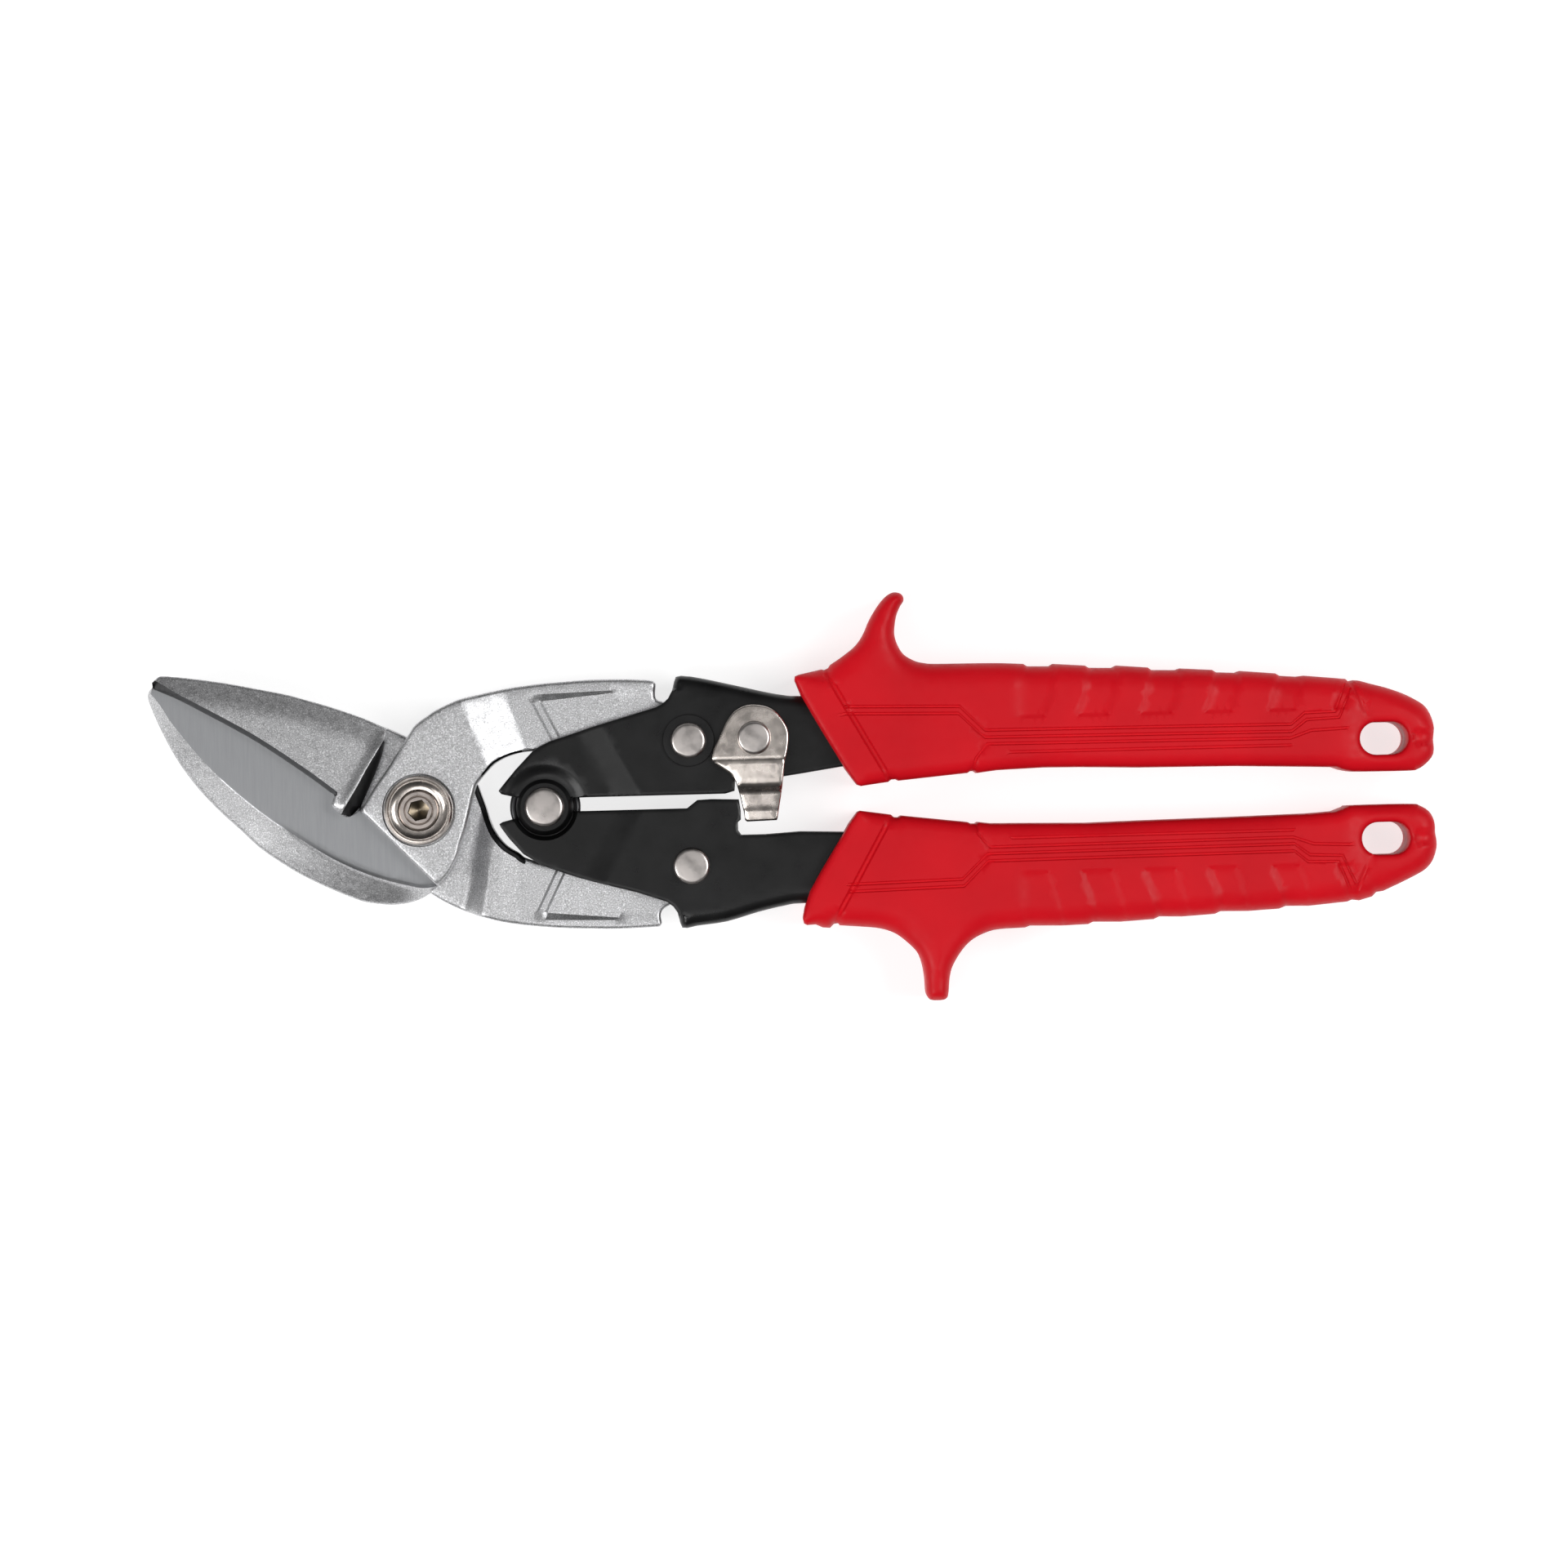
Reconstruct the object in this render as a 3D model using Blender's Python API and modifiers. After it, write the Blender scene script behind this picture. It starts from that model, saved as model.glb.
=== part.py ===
"""Aviation snips with compound-action handles, closed and latched.

The tool lies flat: X runs from the jaw tips to the grip ends, Z is the direction of every
pivot, and +Z is the side that carries the latch. Plans are drawn in millimetres from the
blade pivot, with Z measured from the middle of the tool, and the whole tool then stands
on its bounding box.
"""
import math

import bmesh
import bpy
import numpy as np
from mathutils import Matrix, Vector

MM = 0.001

# Pivots of the linkage, in the plan of the closed tool.
BLADE_PIVOT = (0.0, 0.0)
HANDLE_PIVOT = (24.6, 0.0)
UPPER_LINK = (53.2, 12.3)
LOWER_LINK = (53.2, -12.3)
LATCH_PIVOT = (66.1, 12.5)

# Overall box of the tool about the blade pivot.
TIP_X = -53.3
REAR_X = 199.4
LOWEST_Y = -39.95
HIGHEST_Y = 40.4
HALF_GRIP = 9.5

# Levels of the two blades.
MEETING_GAP = 0.06
BOSS_TOP = 6.2
BOSS_BACK = 5.9
TAIL_HALF = 3.5
SHEAR_LEVEL = 2.6
UPPER_JAW_LEVEL = 2.72
JAW_BACK = -4.0
JAW_RIM = -1.2

# Levels of the folded handles.
SHEET = 1.6
NOSE_LEVEL = 3.8
CHANNEL_LEVEL = 4.5
INNER_LOBE_LEVEL = 2.1

# Radii.
BOLT = 4.0
BOLT_HOLE = 4.15
LOOSE_BOLT_HOLE = 4.6
NUT = 6.85
COUNTERBORE = 7.15
RIVET = 2.4
RIVET_HOLE = 2.6
LINK_EYE = 7.2
LINK_EYE_HOLE = 3.75
LATCH_RIVET = 1.8
LATCH_HOLE = 2.0
SPRING = 6.2
SPRING_WIRE = 0.75
SPRING_PITCH = 1.55
SPRING_TURNS = 1.5


# ---- plan geometry -------------------------------------------------------------------

def arc(centre, radius, start, end, count):
    """Points on an arc, from one angle in degrees to another."""
    angles = np.radians(np.linspace(start, end, count))
    return [(centre[0] + radius * math.cos(a), centre[1] + radius * math.sin(a)) for a in angles]


def smooth(points, steps=2):
    """A Catmull-Rom curve through the points, open at both ends."""
    knots = [np.array(p, float) for p in points]
    knots = [2 * knots[0] - knots[1]] + knots + [2 * knots[-1] - knots[-2]]
    curve = []
    for a, b, c, d in zip(knots, knots[1:], knots[2:], knots[3:]):
        for t in np.arange(steps) / steps:
            curve.append(0.5 * (2 * b + (c - a) * t + (2 * a - 5 * b + 4 * c - d) * t ** 2
                                + (3 * b - a - 3 * c + d) * t ** 3))
    curve.append(knots[-2])
    return [tuple(float(v) for v in p) for p in curve]


def resample(points, count):
    """The same line with its points spread evenly along it."""
    line = np.array(points, float)
    along = np.concatenate([[0], np.cumsum(np.hypot(*np.diff(line, axis=0).T))])
    wanted = np.linspace(0, along[-1], count)
    return np.stack([np.interp(wanted, along, line[:, 0]), np.interp(wanted, along, line[:, 1])], 1)


def offset(points, distance):
    """The open line moved sideways; a positive distance moves it to its left."""
    line = np.array(points, float)
    heading = np.gradient(line, axis=0)
    heading /= np.hypot(heading[:, 0], heading[:, 1])[:, None]
    return [tuple(p) for p in line + distance * np.stack([-heading[:, 1], heading[:, 0]], 1)]


def mirrored(points):
    """The same line on the other side of the tool's axis."""
    return [(x, -y) for x, y in points]


def across(line, point):
    """How far a point lies to the left of a line through two points."""
    (ax, ay), (bx, by) = line
    length = math.hypot(bx - ax, by - ay)
    return ((bx - ax) * (point[1] - ay) - (by - ay) * (point[0] - ax)) / length


def level(value, x, y):
    """A height that is a number or a function of the plan position."""
    return value(x, y) if callable(value) else value


# ---- solids --------------------------------------------------------------------------

def new_object(name, bm):
    """An object from a bmesh drawn in millimetres, linked to the parts collection."""
    bmesh.ops.recalc_face_normals(bm, faces=bm.faces)
    mesh = bpy.data.meshes.new(name)
    bm.to_mesh(mesh)
    bm.free()
    mesh.transform(Matrix.Scale(MM, 4))
    obj = bpy.data.objects.new(name, mesh)
    PARTS.objects.link(obj)
    return obj


def slab(name, outline, low, high, folds=()):
    """An outline raised into a solid between two levels, with a crease along each fold."""
    bm = bmesh.new()
    bm.faces.new([bm.verts.new((x, y, 0)) for x, y in outline])
    for (ax, ay), (bx, by) in folds:
        bmesh.ops.bisect_plane(bm, geom=bm.verts[:] + bm.edges[:] + bm.faces[:],
                               plane_co=(ax, ay, 0), plane_no=(by - ay, ax - bx, 0), dist=1e-5)
    raised = bmesh.ops.extrude_face_region(bm, geom=bm.faces[:])
    upper = {v for v in raised["geom"] if isinstance(v, bmesh.types.BMVert)}
    for vert in bm.verts:
        x, y, _ = vert.co
        vert.co.z = level(high, x, y) if vert in upper else level(low, x, y)
    bmesh.ops.triangulate(bm, faces=bm.faces[:])
    return new_object(name, bm)


def loft(name, sections):
    """A solid through closed sections with equal numbers of points, capped at both ends."""
    bm = bmesh.new()
    rings = [[bm.verts.new(p) for p in section] for section in sections]
    count = len(rings[0])
    for below, above in zip(rings, rings[1:]):
        for i in range(count):
            j = (i + 1) % count
            bm.faces.new((below[i], below[j], above[j], above[i]))
    bm.faces.new(rings[0])
    bm.faces.new(rings[-1])
    bmesh.ops.triangulate(bm, faces=bm.faces[:])
    return new_object(name, bm)


def cylinder(name, centre, radius, low, high, sides=32):
    """A round solid that stands on a plan position."""
    bm = bmesh.new()
    place = Matrix.Translation((centre[0], centre[1], (low + high) / 2))
    bmesh.ops.create_cone(bm, cap_ends=True, segments=sides, radius1=radius, radius2=radius,
                          depth=high - low, matrix=place)
    return new_object(name, bm)


def turned(name, centre, profile, closed=False, steps=32):
    """A profile of radius and height turned about a pivot, its outer side run downwards."""
    mesh = bpy.data.meshes.new(name)
    points = [(radius * MM, 0, height * MM) for radius, height in profile]
    edges = [(i, i + 1) for i in range(len(points) - 1)]
    if closed:
        edges.append((len(points) - 1, 0))
    mesh.from_pydata(points, edges, [])
    obj = bpy.data.objects.new(name, mesh)
    PARTS.objects.link(obj)
    screw = obj.modifiers.new("turn", "SCREW")
    screw.steps = steps
    screw.render_steps = steps
    screw.use_merge_vertices = True
    screw.merge_threshold = 0.00001
    apply_modifiers(obj)
    obj.data.transform(Matrix.Translation((centre[0] * MM, centre[1] * MM, 0)))
    return obj


def washer(name, centre, inner, outer, low, high):
    """A flat ring about a pivot."""
    return turned(name, centre, [(outer, high), (outer, low), (inner, low), (inner, high)], closed=True)


def rivet(name, centre, head, grip, rise, shank=RIVET):
    """A rivet with a low domed head at each end of its shank."""
    half = [(0, grip + rise), (0.6 * head, grip + 0.92 * rise), (0.9 * head, grip + 0.6 * rise),
            (head, grip), (shank, grip)]
    return turned(name, centre, half + [(radius, -height) for radius, height in reversed(half)])


def apply_modifiers(obj):
    """Replace an object's mesh by what its modifiers make of it."""
    graph = bpy.context.evaluated_depsgraph_get()
    mesh = bpy.data.meshes.new_from_object(obj.evaluated_get(graph))
    obj.modifiers.clear()
    obj.data = mesh


def combine(target, other, operation):
    """Apply a Boolean with another solid, which is used up."""
    modifier = target.modifiers.new(operation.lower(), "BOOLEAN")
    modifier.operation = operation
    modifier.object = other
    apply_modifiers(target)
    bpy.data.objects.remove(other)


def cut(target, *others):
    for other in others:
        combine(target, other, "DIFFERENCE")


def join(target, *others):
    for other in others:
        combine(target, other, "UNION")


# ---- blades --------------------------------------------------------------------------

LOWER_JAW_OUTSIDE = smooth([
    (-53.3, 24.3), (-52, 19.9), (-48.1, 11.7), (-43.1, 4.6), (-35.6, -3), (-28.1, -9.4),
    (-19.9, -14.2), (-12.1, -17.6), (-5.7, -18.5), (0.1, -17.2), (3.2, -14.9)])
LOWER_JAW_CREST = smooth([
    (-52.4, 24.2), (-50, 20.3), (-43.1, 11.7), (-34.9, 3.5), (-24.4, -4.5), (-13.2, -11.1),
    (-5.7, -14), (1.3, -15.2)])
LOWER_JAW_INSIDE = [
    (2, -10), (-4, -6), (-9, -1), (-12.5, 1), (-17.5, 6.5), (-22, 10.4), (-34, 18.4), (-46, 24.9),
    (-50.5, 26.2), (-51.9, 25.6)]
UPPER_JAW_OUTSIDE = smooth([
    (-51.8, 26.4), (-50.3, 27.6), (-46.1, 27.3), (-37.1, 25.9), (-25.9, 23.5), (-17.7, 21),
    (-9.5, 17.9), (-6.2, 16.3)])
UPPER_JAW_EDGE = [
    (-17.1, 1.3), (-16.4, 3.2), (-20.7, 6.7), (-25.9, 10.4), (-31.9, 14.5), (-41.9, 20.2), (-51.5, 25.1)]
HEEL = [
    (-6.6, 14.9), (-7.5, 11.5), (-9, 8), (-10.3, 5), (-12, 0.6), (-13, -0.6), (-14.5, -1), (-15.8, 0)]
PLATEAU_LEFT = [(-11.5, 0.2), (-8.7, 4.6), (-5.7, 8.7), (-3.5, 12.1), (-2.2, 14.1)]
PLATEAU_RIGHT = [(11.3, 4.8), (10, 0.2), (8.6, -4.9), (7.3, -9.1), (5.1, -13), (3.2, -14.9)]
TAIL_OUTSIDE = smooth([
    (-1.6, 15), (2.1, 18.5), (8.2, 21.5), (19.1, 23.7), (28, 24.5), (36.5, 24.8), (45.8, 24.4)])
TAIL_STEP = [(46.9, 23.6), (46.7, 21.2), (48.5, 20.1)]
TAIL_INSIDE = smooth([(44, 7.8), (34, 10), (26, 11.1), (19.8, 10.8), (14.8, 8.7), (12.9, 6.7)])
REAR_SHOULDER = [
    (14.6, -4.9), (13.7, -2.5), (12.9, 0.2), (12.2, 3.2), (11.4, 4.6), (9, 7), (5, 10.2), (1, 12.8),
    (-2.4, 14.5), (-5.7, 16.1), (-9.5, 17.6)]
NECK = [
    (-6.3, 15.9), (-9.5, 17.5), (-17.7, 20.6), (-22.2, 21.9), (-24, 16), (-21.8, 11), (-17.3, 7.1),
    (-12.3, 1.4), (-10.3, 5), (-9, 8), (-7.5, 11.5), (-6.6, 14.9)]
REAR_BOSS = 12.3
FRONT_RELIEF = 12.65
TAIL_SWEEP = -113
FRONT_FOLD = ((3.5, 20.5), (13, 7.5))
REAR_FOLD = ((7.6, -20.5), (13, 5))
RAMP = 3.2


def beside(line, distance):
    """The same line moved to its right."""
    (ax, ay), (bx, by) = line
    length = math.hypot(bx - ax, by - ay)
    dx = (by - ay) / length * distance
    dy = (ax - bx) / length * distance
    return (ax + dx, ay + dy), (bx + dx, by + dy)


def tail_thickness(x, full):
    """Half thickness of a blade, from the full boss down to the tail."""
    return float(np.interp(x, [10, 20], [full, TAIL_HALF]))


def tail_end():
    """The tail's end round the upper link, outside first."""
    return arc(UPPER_LINK, LINK_EYE, 70, -115, 14)


def lower_jaw():
    """The jaw that the front blade ends in, with its flat shear face and sloping rim."""
    count = 22
    outside = resample(LOWER_JAW_OUTSIDE, count)
    crest = resample(LOWER_JAW_CREST, count)
    sections = []
    for height, share in ((JAW_BACK, 0.25), (JAW_RIM, 0.0), (SHEAR_LEVEL, 1.0)):
        rim = outside + share * (crest - outside)
        plan = [tuple(p) for p in rim] + LOWER_JAW_INSIDE
        sections.append([(x, y, height) for x, y in plan])
    jaw = loft("lower_jaw", sections)
    sweep = [(0, 0)] + arc(BLADE_PIVOT, 40, TAIL_SWEEP, 20, 12)
    cut(jaw, cylinder("boss_relief", BLADE_PIVOT, FRONT_RELIEF, -8, MEETING_GAP, 48),
        slab("tail_relief", sweep, -8, MEETING_GAP))
    return jaw


def front_blade():
    """Upper tail, front boss and lower jaw in one forging."""
    outline = (PLATEAU_LEFT + TAIL_OUTSIDE + TAIL_STEP + tail_end() + TAIL_INSIDE + PLATEAU_RIGHT)
    far = ((10, 0), (10, 1)), ((20, 0), (20, 1))
    folds = (FRONT_FOLD, beside(FRONT_FOLD, -RAMP)) + far

    def back(x, y):
        return float(np.interp(across(FRONT_FOLD, (x, y)), [0, RAMP], [MEETING_GAP, -TAIL_HALF]))

    blade = slab("front_blade", outline, back, lambda x, y: tail_thickness(x, BOSS_TOP), folds)
    join(blade, lower_jaw())
    cut(blade, cylinder("bolt_hole", BLADE_PIVOT, BOLT_HOLE, -10, 10),
        cylinder("counterbore", BLADE_PIVOT, COUNTERBORE, BOSS_TOP - 0.5, 10, 48),
        cylinder("link_hole", UPPER_LINK, LINK_EYE_HOLE, -10, 10))
    return blade


def upper_jaw_top(x, y):
    """The upper jaw is thick along its edge and thins towards its outside."""
    return float(np.interp(across((UPPER_JAW_EDGE[2], UPPER_JAW_EDGE[-1]), (x, y)), [-11, 0], [4.2, 6.9]))


def rear_blade():
    """Lower tail, rear boss and upper jaw in one forging."""
    boss = arc(BLADE_PIVOT, REAR_BOSS, 174, 264, 12)
    outside = smooth([(1.7, -16.5), (7.5, -19.8), (16, -22.4), (26.8, -23.8), (38.4, -24.3), (46.1, -24.2)])
    step = [(46.9, -23.6), (46.7, -21.9), (48.8, -19.8)]
    inside = smooth([(44, -7.8), (34, -10), (26, -11.3), (20.8, -10.1), (16.7, -7.4)])
    outline = (boss + outside + step + mirrored(tail_end()) + inside + REAR_SHOULDER
               + [(-16, 14), (-17.3, 7.1), (-14.3, 3.8)])
    far = ((10, 0), (10, 1)), ((20, 0), (20, 1))
    folds = (REAR_FOLD, beside(REAR_FOLD, RAMP)) + far

    def front(x, y):
        return float(np.interp(-across(REAR_FOLD, (x, y)), [0, RAMP], [-MEETING_GAP, TAIL_HALF]))

    blade = slab("rear_blade", outline, lambda x, y: -tail_thickness(x, BOSS_BACK), front, folds)
    jaw = UPPER_JAW_OUTSIDE + HEEL + UPPER_JAW_EDGE
    join(blade, slab("neck", NECK, -4.5, SHEAR_LEVEL + 0.6),
         slab("upper_jaw", jaw, UPPER_JAW_LEVEL, upper_jaw_top))
    cut(blade, cylinder("bolt_hole", BLADE_PIVOT, LOOSE_BOLT_HOLE, -10, 10),
        cylinder("link_hole", LOWER_LINK, LINK_EYE_HOLE, -10, 10))
    return blade


# ---- main pivot ----------------------------------------------------------------------

def pivot_bolt():
    """Bolt with a low round head at the back and a hexagon socket in its end."""
    head = -BOSS_BACK - 0.8
    profile = [(0, 7.6), (BOLT - 0.4, 7.6), (BOLT - 0.05, 7.2), (BOLT - 0.05, head), (NUT, head),
               (NUT, -8.6), (NUT - 0.8, -HALF_GRIP), (0, -HALF_GRIP)]
    bolt = turned("pivot_bolt", BLADE_PIVOT, profile)
    cut(bolt, cylinder("socket", BLADE_PIVOT, 2.25, 4.6, 9, 6))
    return bolt


def pivot_nut():
    """Round nut whose top is dished inside a chamfered rim."""
    seat = BOSS_TOP - 0.42
    profile = [(5.7, 8.3), (NUT, 7.4), (NUT, seat), (BOLT, seat), (BOLT, 7.3), (5.3, 7.7)]
    return turned("pivot_nut", BLADE_PIVOT, profile, closed=True)


def pivot_washer():
    return washer("pivot_washer", BLADE_PIVOT, BOLT_HOLE, 7.4, -BOSS_BACK - 0.7, -BOSS_BACK - 0.12)


# ---- handles -------------------------------------------------------------------------

UPPER_NOSE = [
    (50.8, 25), (50.2, 22.2), (48.5, 19.9), (46.9, 19), (34.1, 15.4), (26, 13), (22.5, 11), (19.1, 7.5),
    (15.6, 3.4), (16.2, 2.7), (18.7, 2.2)]
UPPER_INSIDE = [
    (32.8, 1.7), (60.1, 1.7), (62, 2.2), (62.1, 4.6), (71.7, 4.8), (74.7, 5.2), (83, 6.4),
    (95, 7.2), (172, 8.2)]
UPPER_SPINE = [
    (172, 17.5), (90, 20.3), (75.4, 20.5), (71.9, 20.7), (64.3, 22.5), (57.3, 24.2), (53.9, 24.9)]
LOWER_NOSE = [
    (50.8, -24.4), (50.2, -21.4), (48.1, -19.2), (34.5, -15.1), (26.8, -12.6), (23.7, -11.4), (20.2, -9.1),
    (17.5, -6), (15.6, -3.3), (15.7, -2.7), (18.7, -2.2)]
LOWER_INSIDE = [
    (33, -1), (52.5, -1), (54.6, 0.6), (57.3, 0.7), (62.7, 0.5), (63, -1.7), (63, -3.5), (62.4, -4),
    (62.4, -5.6), (63, -6.5), (67.7, -6.5), (74.7, -6.1), (83, -6.4), (95, -7.2), (172, -8.2)]
LOWER_SPINE = [
    (172, -17.5), (90, -20.2), (75, -20.2), (71.2, -20.6), (66, -21.7), (59.8, -23.4), (53.9, -24.1)]
UPPER_COLLAR = 5.6
LOBE_CLEARANCE = 8.8
LOBE = 9.9
WALL_SEAT = 9.3
SLIVER = 0.03


def joggle(y_side):
    """Height of a handle wall's inner face, which steps outwards towards the grips."""
    line = ((43.4, 2 * y_side), (36.5, 15 * y_side))

    def inner(x, y):
        return float(np.interp(-y_side * across(line, (x, y)), [-4, 0], [NOSE_LEVEL, CHANNEL_LEVEL]))

    return line, inner


def channel(name, nose, collar, inside, spine, y_side):
    """Two walls and the outer spine of a handle, before its pivot lobes are shaped."""
    line, inner = joggle(y_side)
    folds = (line, beside(line, -4 * y_side))
    plan = nose + collar + inside + spine
    front = slab(name, plan, inner, lambda x, y: inner(x, y) + SHEET, folds)
    back = slab("back_wall", plan, lambda x, y: -inner(x, y) - SHEET, lambda x, y: -inner(x, y), folds)
    edge = spine + [nose[0]]
    depth = CHANNEL_LEVEL + SHEET
    ridge = slab("spine", edge + offset(edge, SHEET * y_side)[::-1], -depth, depth)
    return front, back, ridge


def upper_handle():
    """Folded handle whose lobes lie outside the other handle's at the pivot."""
    collar = arc(HANDLE_PIVOT, UPPER_COLLAR, 158, 377, 18)
    handle, back, ridge = channel("upper_handle", UPPER_NOSE, collar, UPPER_INSIDE, UPPER_SPINE, 1)
    join(handle, back, ridge)
    cut(handle, cylinder("pivot_hole", HANDLE_PIVOT, RIVET_HOLE, -10, 10),
        cylinder("link_hole", UPPER_LINK, RIVET_HOLE, -10, 10),
        cylinder("latch_hole", LATCH_PIVOT, LATCH_HOLE, 0, 10))
    return handle


def lobe(collar, side):
    """A dished lobe of the lower handle, which carries the pivot inside the upper handle's."""
    top = NOSE_LEVEL + SHEET - SLIVER
    plan = offset(LOWER_NOSE + collar + LOWER_INSIDE + LOWER_SPINE, -SLIVER)
    dish = slab("lobe", plan, *sorted((side * INNER_LOBE_LEVEL, side * top)))
    combine(dish, cylinder("lobe_edge", HANDLE_PIVOT, LOBE, -10, 10, 48), "INTERSECT")
    floor = INNER_LOBE_LEVEL + SHEET
    cut(dish, cylinder("lobe_hollow", HANDLE_PIVOT, LOBE_CLEARANCE, *sorted((side * floor, side * 10)), 48))
    return dish


def lower_handle():
    """Folded handle with a latch tooth and dished inner lobes at the pivot."""
    collar = arc(HANDLE_PIVOT, UPPER_COLLAR, 202, -10, 18)
    handle, back, ridge = channel("lower_handle", LOWER_NOSE, collar, LOWER_INSIDE, LOWER_SPINE, -1)
    cut(handle, cylinder("front_seat", HANDLE_PIVOT, WALL_SEAT, 0, 10, 48))
    cut(back, cylinder("back_seat", HANDLE_PIVOT, WALL_SEAT, -10, 0, 48))
    join(handle, lobe(collar, 1))
    join(back, lobe(collar, -1))
    join(handle, back, ridge)
    cut(handle, cylinder("pivot_hole", HANDLE_PIVOT, RIVET_HOLE, -10, 10),
        cylinder("link_hole", LOWER_LINK, RIVET_HOLE, -10, 10))
    return handle


# ---- pivots of the linkage -----------------------------------------------------------

def handle_pivot_rivet():
    return rivet("handle_pivot_rivet", HANDLE_PIVOT, 3.9, NOSE_LEVEL + SHEET + 0.1, 1.2)


def handle_pivot_sleeve():
    return washer("handle_pivot_sleeve", HANDLE_PIVOT, RIVET_HOLE, 5.0, -1.98, 1.98)


def handle_spring():
    """Torsion spring: one leg along each handle, and its coil round the pivot sleeve."""
    rise = SPRING_PITCH * SPRING_TURNS / 2
    leg = [(71.3, 18.2), (69.2, 13.6), (66, 8), (62, 4.2), (57, 3), (48, 3.2), (38, 4.4), (30, 5.6)]
    plan = smooth(leg, 3)
    route = [(x, y, rise) for x, y in plan]
    turns = np.linspace(90, 90 + 360 * SPRING_TURNS, 37)
    for turn in turns:
        angle = math.radians(turn)
        drop = (turn - 90) / (360 * SPRING_TURNS)
        route.append((HANDLE_PIVOT[0] + SPRING * math.cos(angle), SPRING * math.sin(angle),
                      rise - 2 * rise * drop))
    route += [(x, -y, -rise) for x, y in reversed(plan)]
    curve = bpy.data.curves.new("handle_spring", "CURVE")
    curve.dimensions = "3D"
    curve.bevel_depth = SPRING_WIRE * MM
    curve.bevel_resolution = 2
    curve.use_fill_caps = True
    spline = curve.splines.new("POLY")
    spline.points.add(len(route) - 1)
    for point, (x, y, z) in zip(spline.points, route):
        point.co = (x * MM, y * MM, z * MM, 1)
    obj = bpy.data.objects.new("handle_spring", curve)
    PARTS.objects.link(obj)
    return obj


def link_rivet(name, centre, head, grip):
    """Rivet through a link, its front head standing on whatever lies under it."""
    back = CHANNEL_LEVEL + SHEET + 0.1
    profile = [(0, grip + 1.15), (0.62 * head, grip + 1.05), (0.9 * head, grip + 0.7), (head, grip),
               (RIVET, grip), (RIVET, -back), (head, -back), (0.9 * head, -back - 0.7),
               (0.62 * head, -back - 1.05), (0, -back - 1.15)]
    return turned(name, centre, profile)


def link_bush(name, centre):
    return washer(name, centre, RIVET_HOLE, 3.5, -TAIL_HALF, TAIL_HALF)


def link_shim(name, centre, side):
    """A thin washer that centres a tail between the handle's walls, on one side of it."""
    near = TAIL_HALF + 0.12
    far = CHANNEL_LEVEL - 0.12
    return washer(name, centre, RIVET_HOLE, 5.6, *sorted((side * near, side * far)))


# ---- latch ---------------------------------------------------------------------------

LATCH_PLAN = [
    (64.3, 18.8), (62.2, 17.7), (60.6, 15.6), (59.6, 13.5), (58.4, 11.1), (57.7, 9), (58.1, 7.9),
    (60.5, 6.1),
    (61.6, 5.2), (62.4, 3.6), (63.3, 0.5), (63.7, -1.7), (63.9, -3.9), (70.3, -3.7), (71.2, 1.7), (72.1, 8),
    (72.9, 12.8), (72.4, 14.9), (70.8, 17.2), (68.8, 18.5), (66.3, 19)]
LATCH_LOW = 4.65
LATCH_HIGH = 6.25
LATCH_SHEET = 1.5


def latch():
    """Bent sheet catch that swings on the upper handle and holds the lower one's tooth."""
    def under(x, y):
        return float(np.interp(y, [1.0, 2.25], [LATCH_LOW, LATCH_HIGH]))

    folds = [((0, y), (1, y)) for y in (1.0, 2.25)]
    catch = slab("latch", LATCH_PLAN, under, lambda x, y: under(x, y) + LATCH_SHEET, folds)
    cut(catch, cylinder("latch_bore", LATCH_PIVOT, LATCH_HOLE, 0, 10))
    return catch


def latch_washer():
    """Thin disc inside the handle wall, under the latch rivet's inner head."""
    return washer("latch_washer", LATCH_PIVOT, LATCH_HOLE, 3.4, 3.75, CHANNEL_LEVEL - 0.12)


def latch_rivet():
    profile = [(0, 9.1), (2.0, 9.0), (3.0, 8.6), (3.3, 7.86), (LATCH_RIVET, 7.86), (LATCH_RIVET, 3.63),
               (3.0, 3.63), (2.6, 2.9), (0, 2.75)]
    return turned("latch_rivet", LATCH_PIVOT, profile)


# ---- grips ---------------------------------------------------------------------------

UPPER_GRIP_PLAN = smooth([
    (86.5, 2.5), (94, 3.3), (107, 4.5), (122.9, 5.2), (141.9, 4.7), (160.5, 4.5), (174.7, 4), (182.3, 3),
    (188, 2.7), (195, 2.8), (198.3, 4.8), (199.4, 9.5), (198.7, 13.8), (195.5, 17), (190, 19.2),
    (184, 20.8), (176, 21.8), (162, 23.5), (144, 24.9), (130, 25.6), (119.2, 25.7), (102, 26.1),
    (97.9, 26.8), (95.2, 29), (94.1, 32.2), (94.9, 36.5), (96.1, 38.9), (94.3, 40.4), (92, 38.8),
    (89.3, 35.2), (86.4, 30.1), (81.3, 26.1), (78, 25.4), (74.6, 24.8), (75.4, 20.7), (77.6, 16.6),
    (82.3, 8.4), (85, 4.1)])
LOWER_GRIP_PLAN = smooth([
    (86.5, -2.4), (85, -3.4), (83.5, -6), (78.2, -14.4), (75.3, -20.5), (74.7, -24.2), (78.6, -25),
    (86.4, -25.1), (92.6, -26.5), (96.8, -30.2), (98.3, -35), (98.7, -39), (100.7, -39.95), (102.8, -38.8),
    (103.8, -33.1), (107, -28.8), (113.5, -26.2), (125.5, -25.9), (143.5, -25), (160, -24.1),
    (173.9, -23.3),
    (184, -22.2), (191.6, -19.6), (197, -16.6), (199.4, -11.6), (198.5, -6), (195.5, -3.9), (188, -3.8),
    (182.9, -3.9), (174.7, -5.2), (158.3, -5.5), (141.9, -5.7), (120, -5.65), (107, -4.9), (94, -3.5)])
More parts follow.
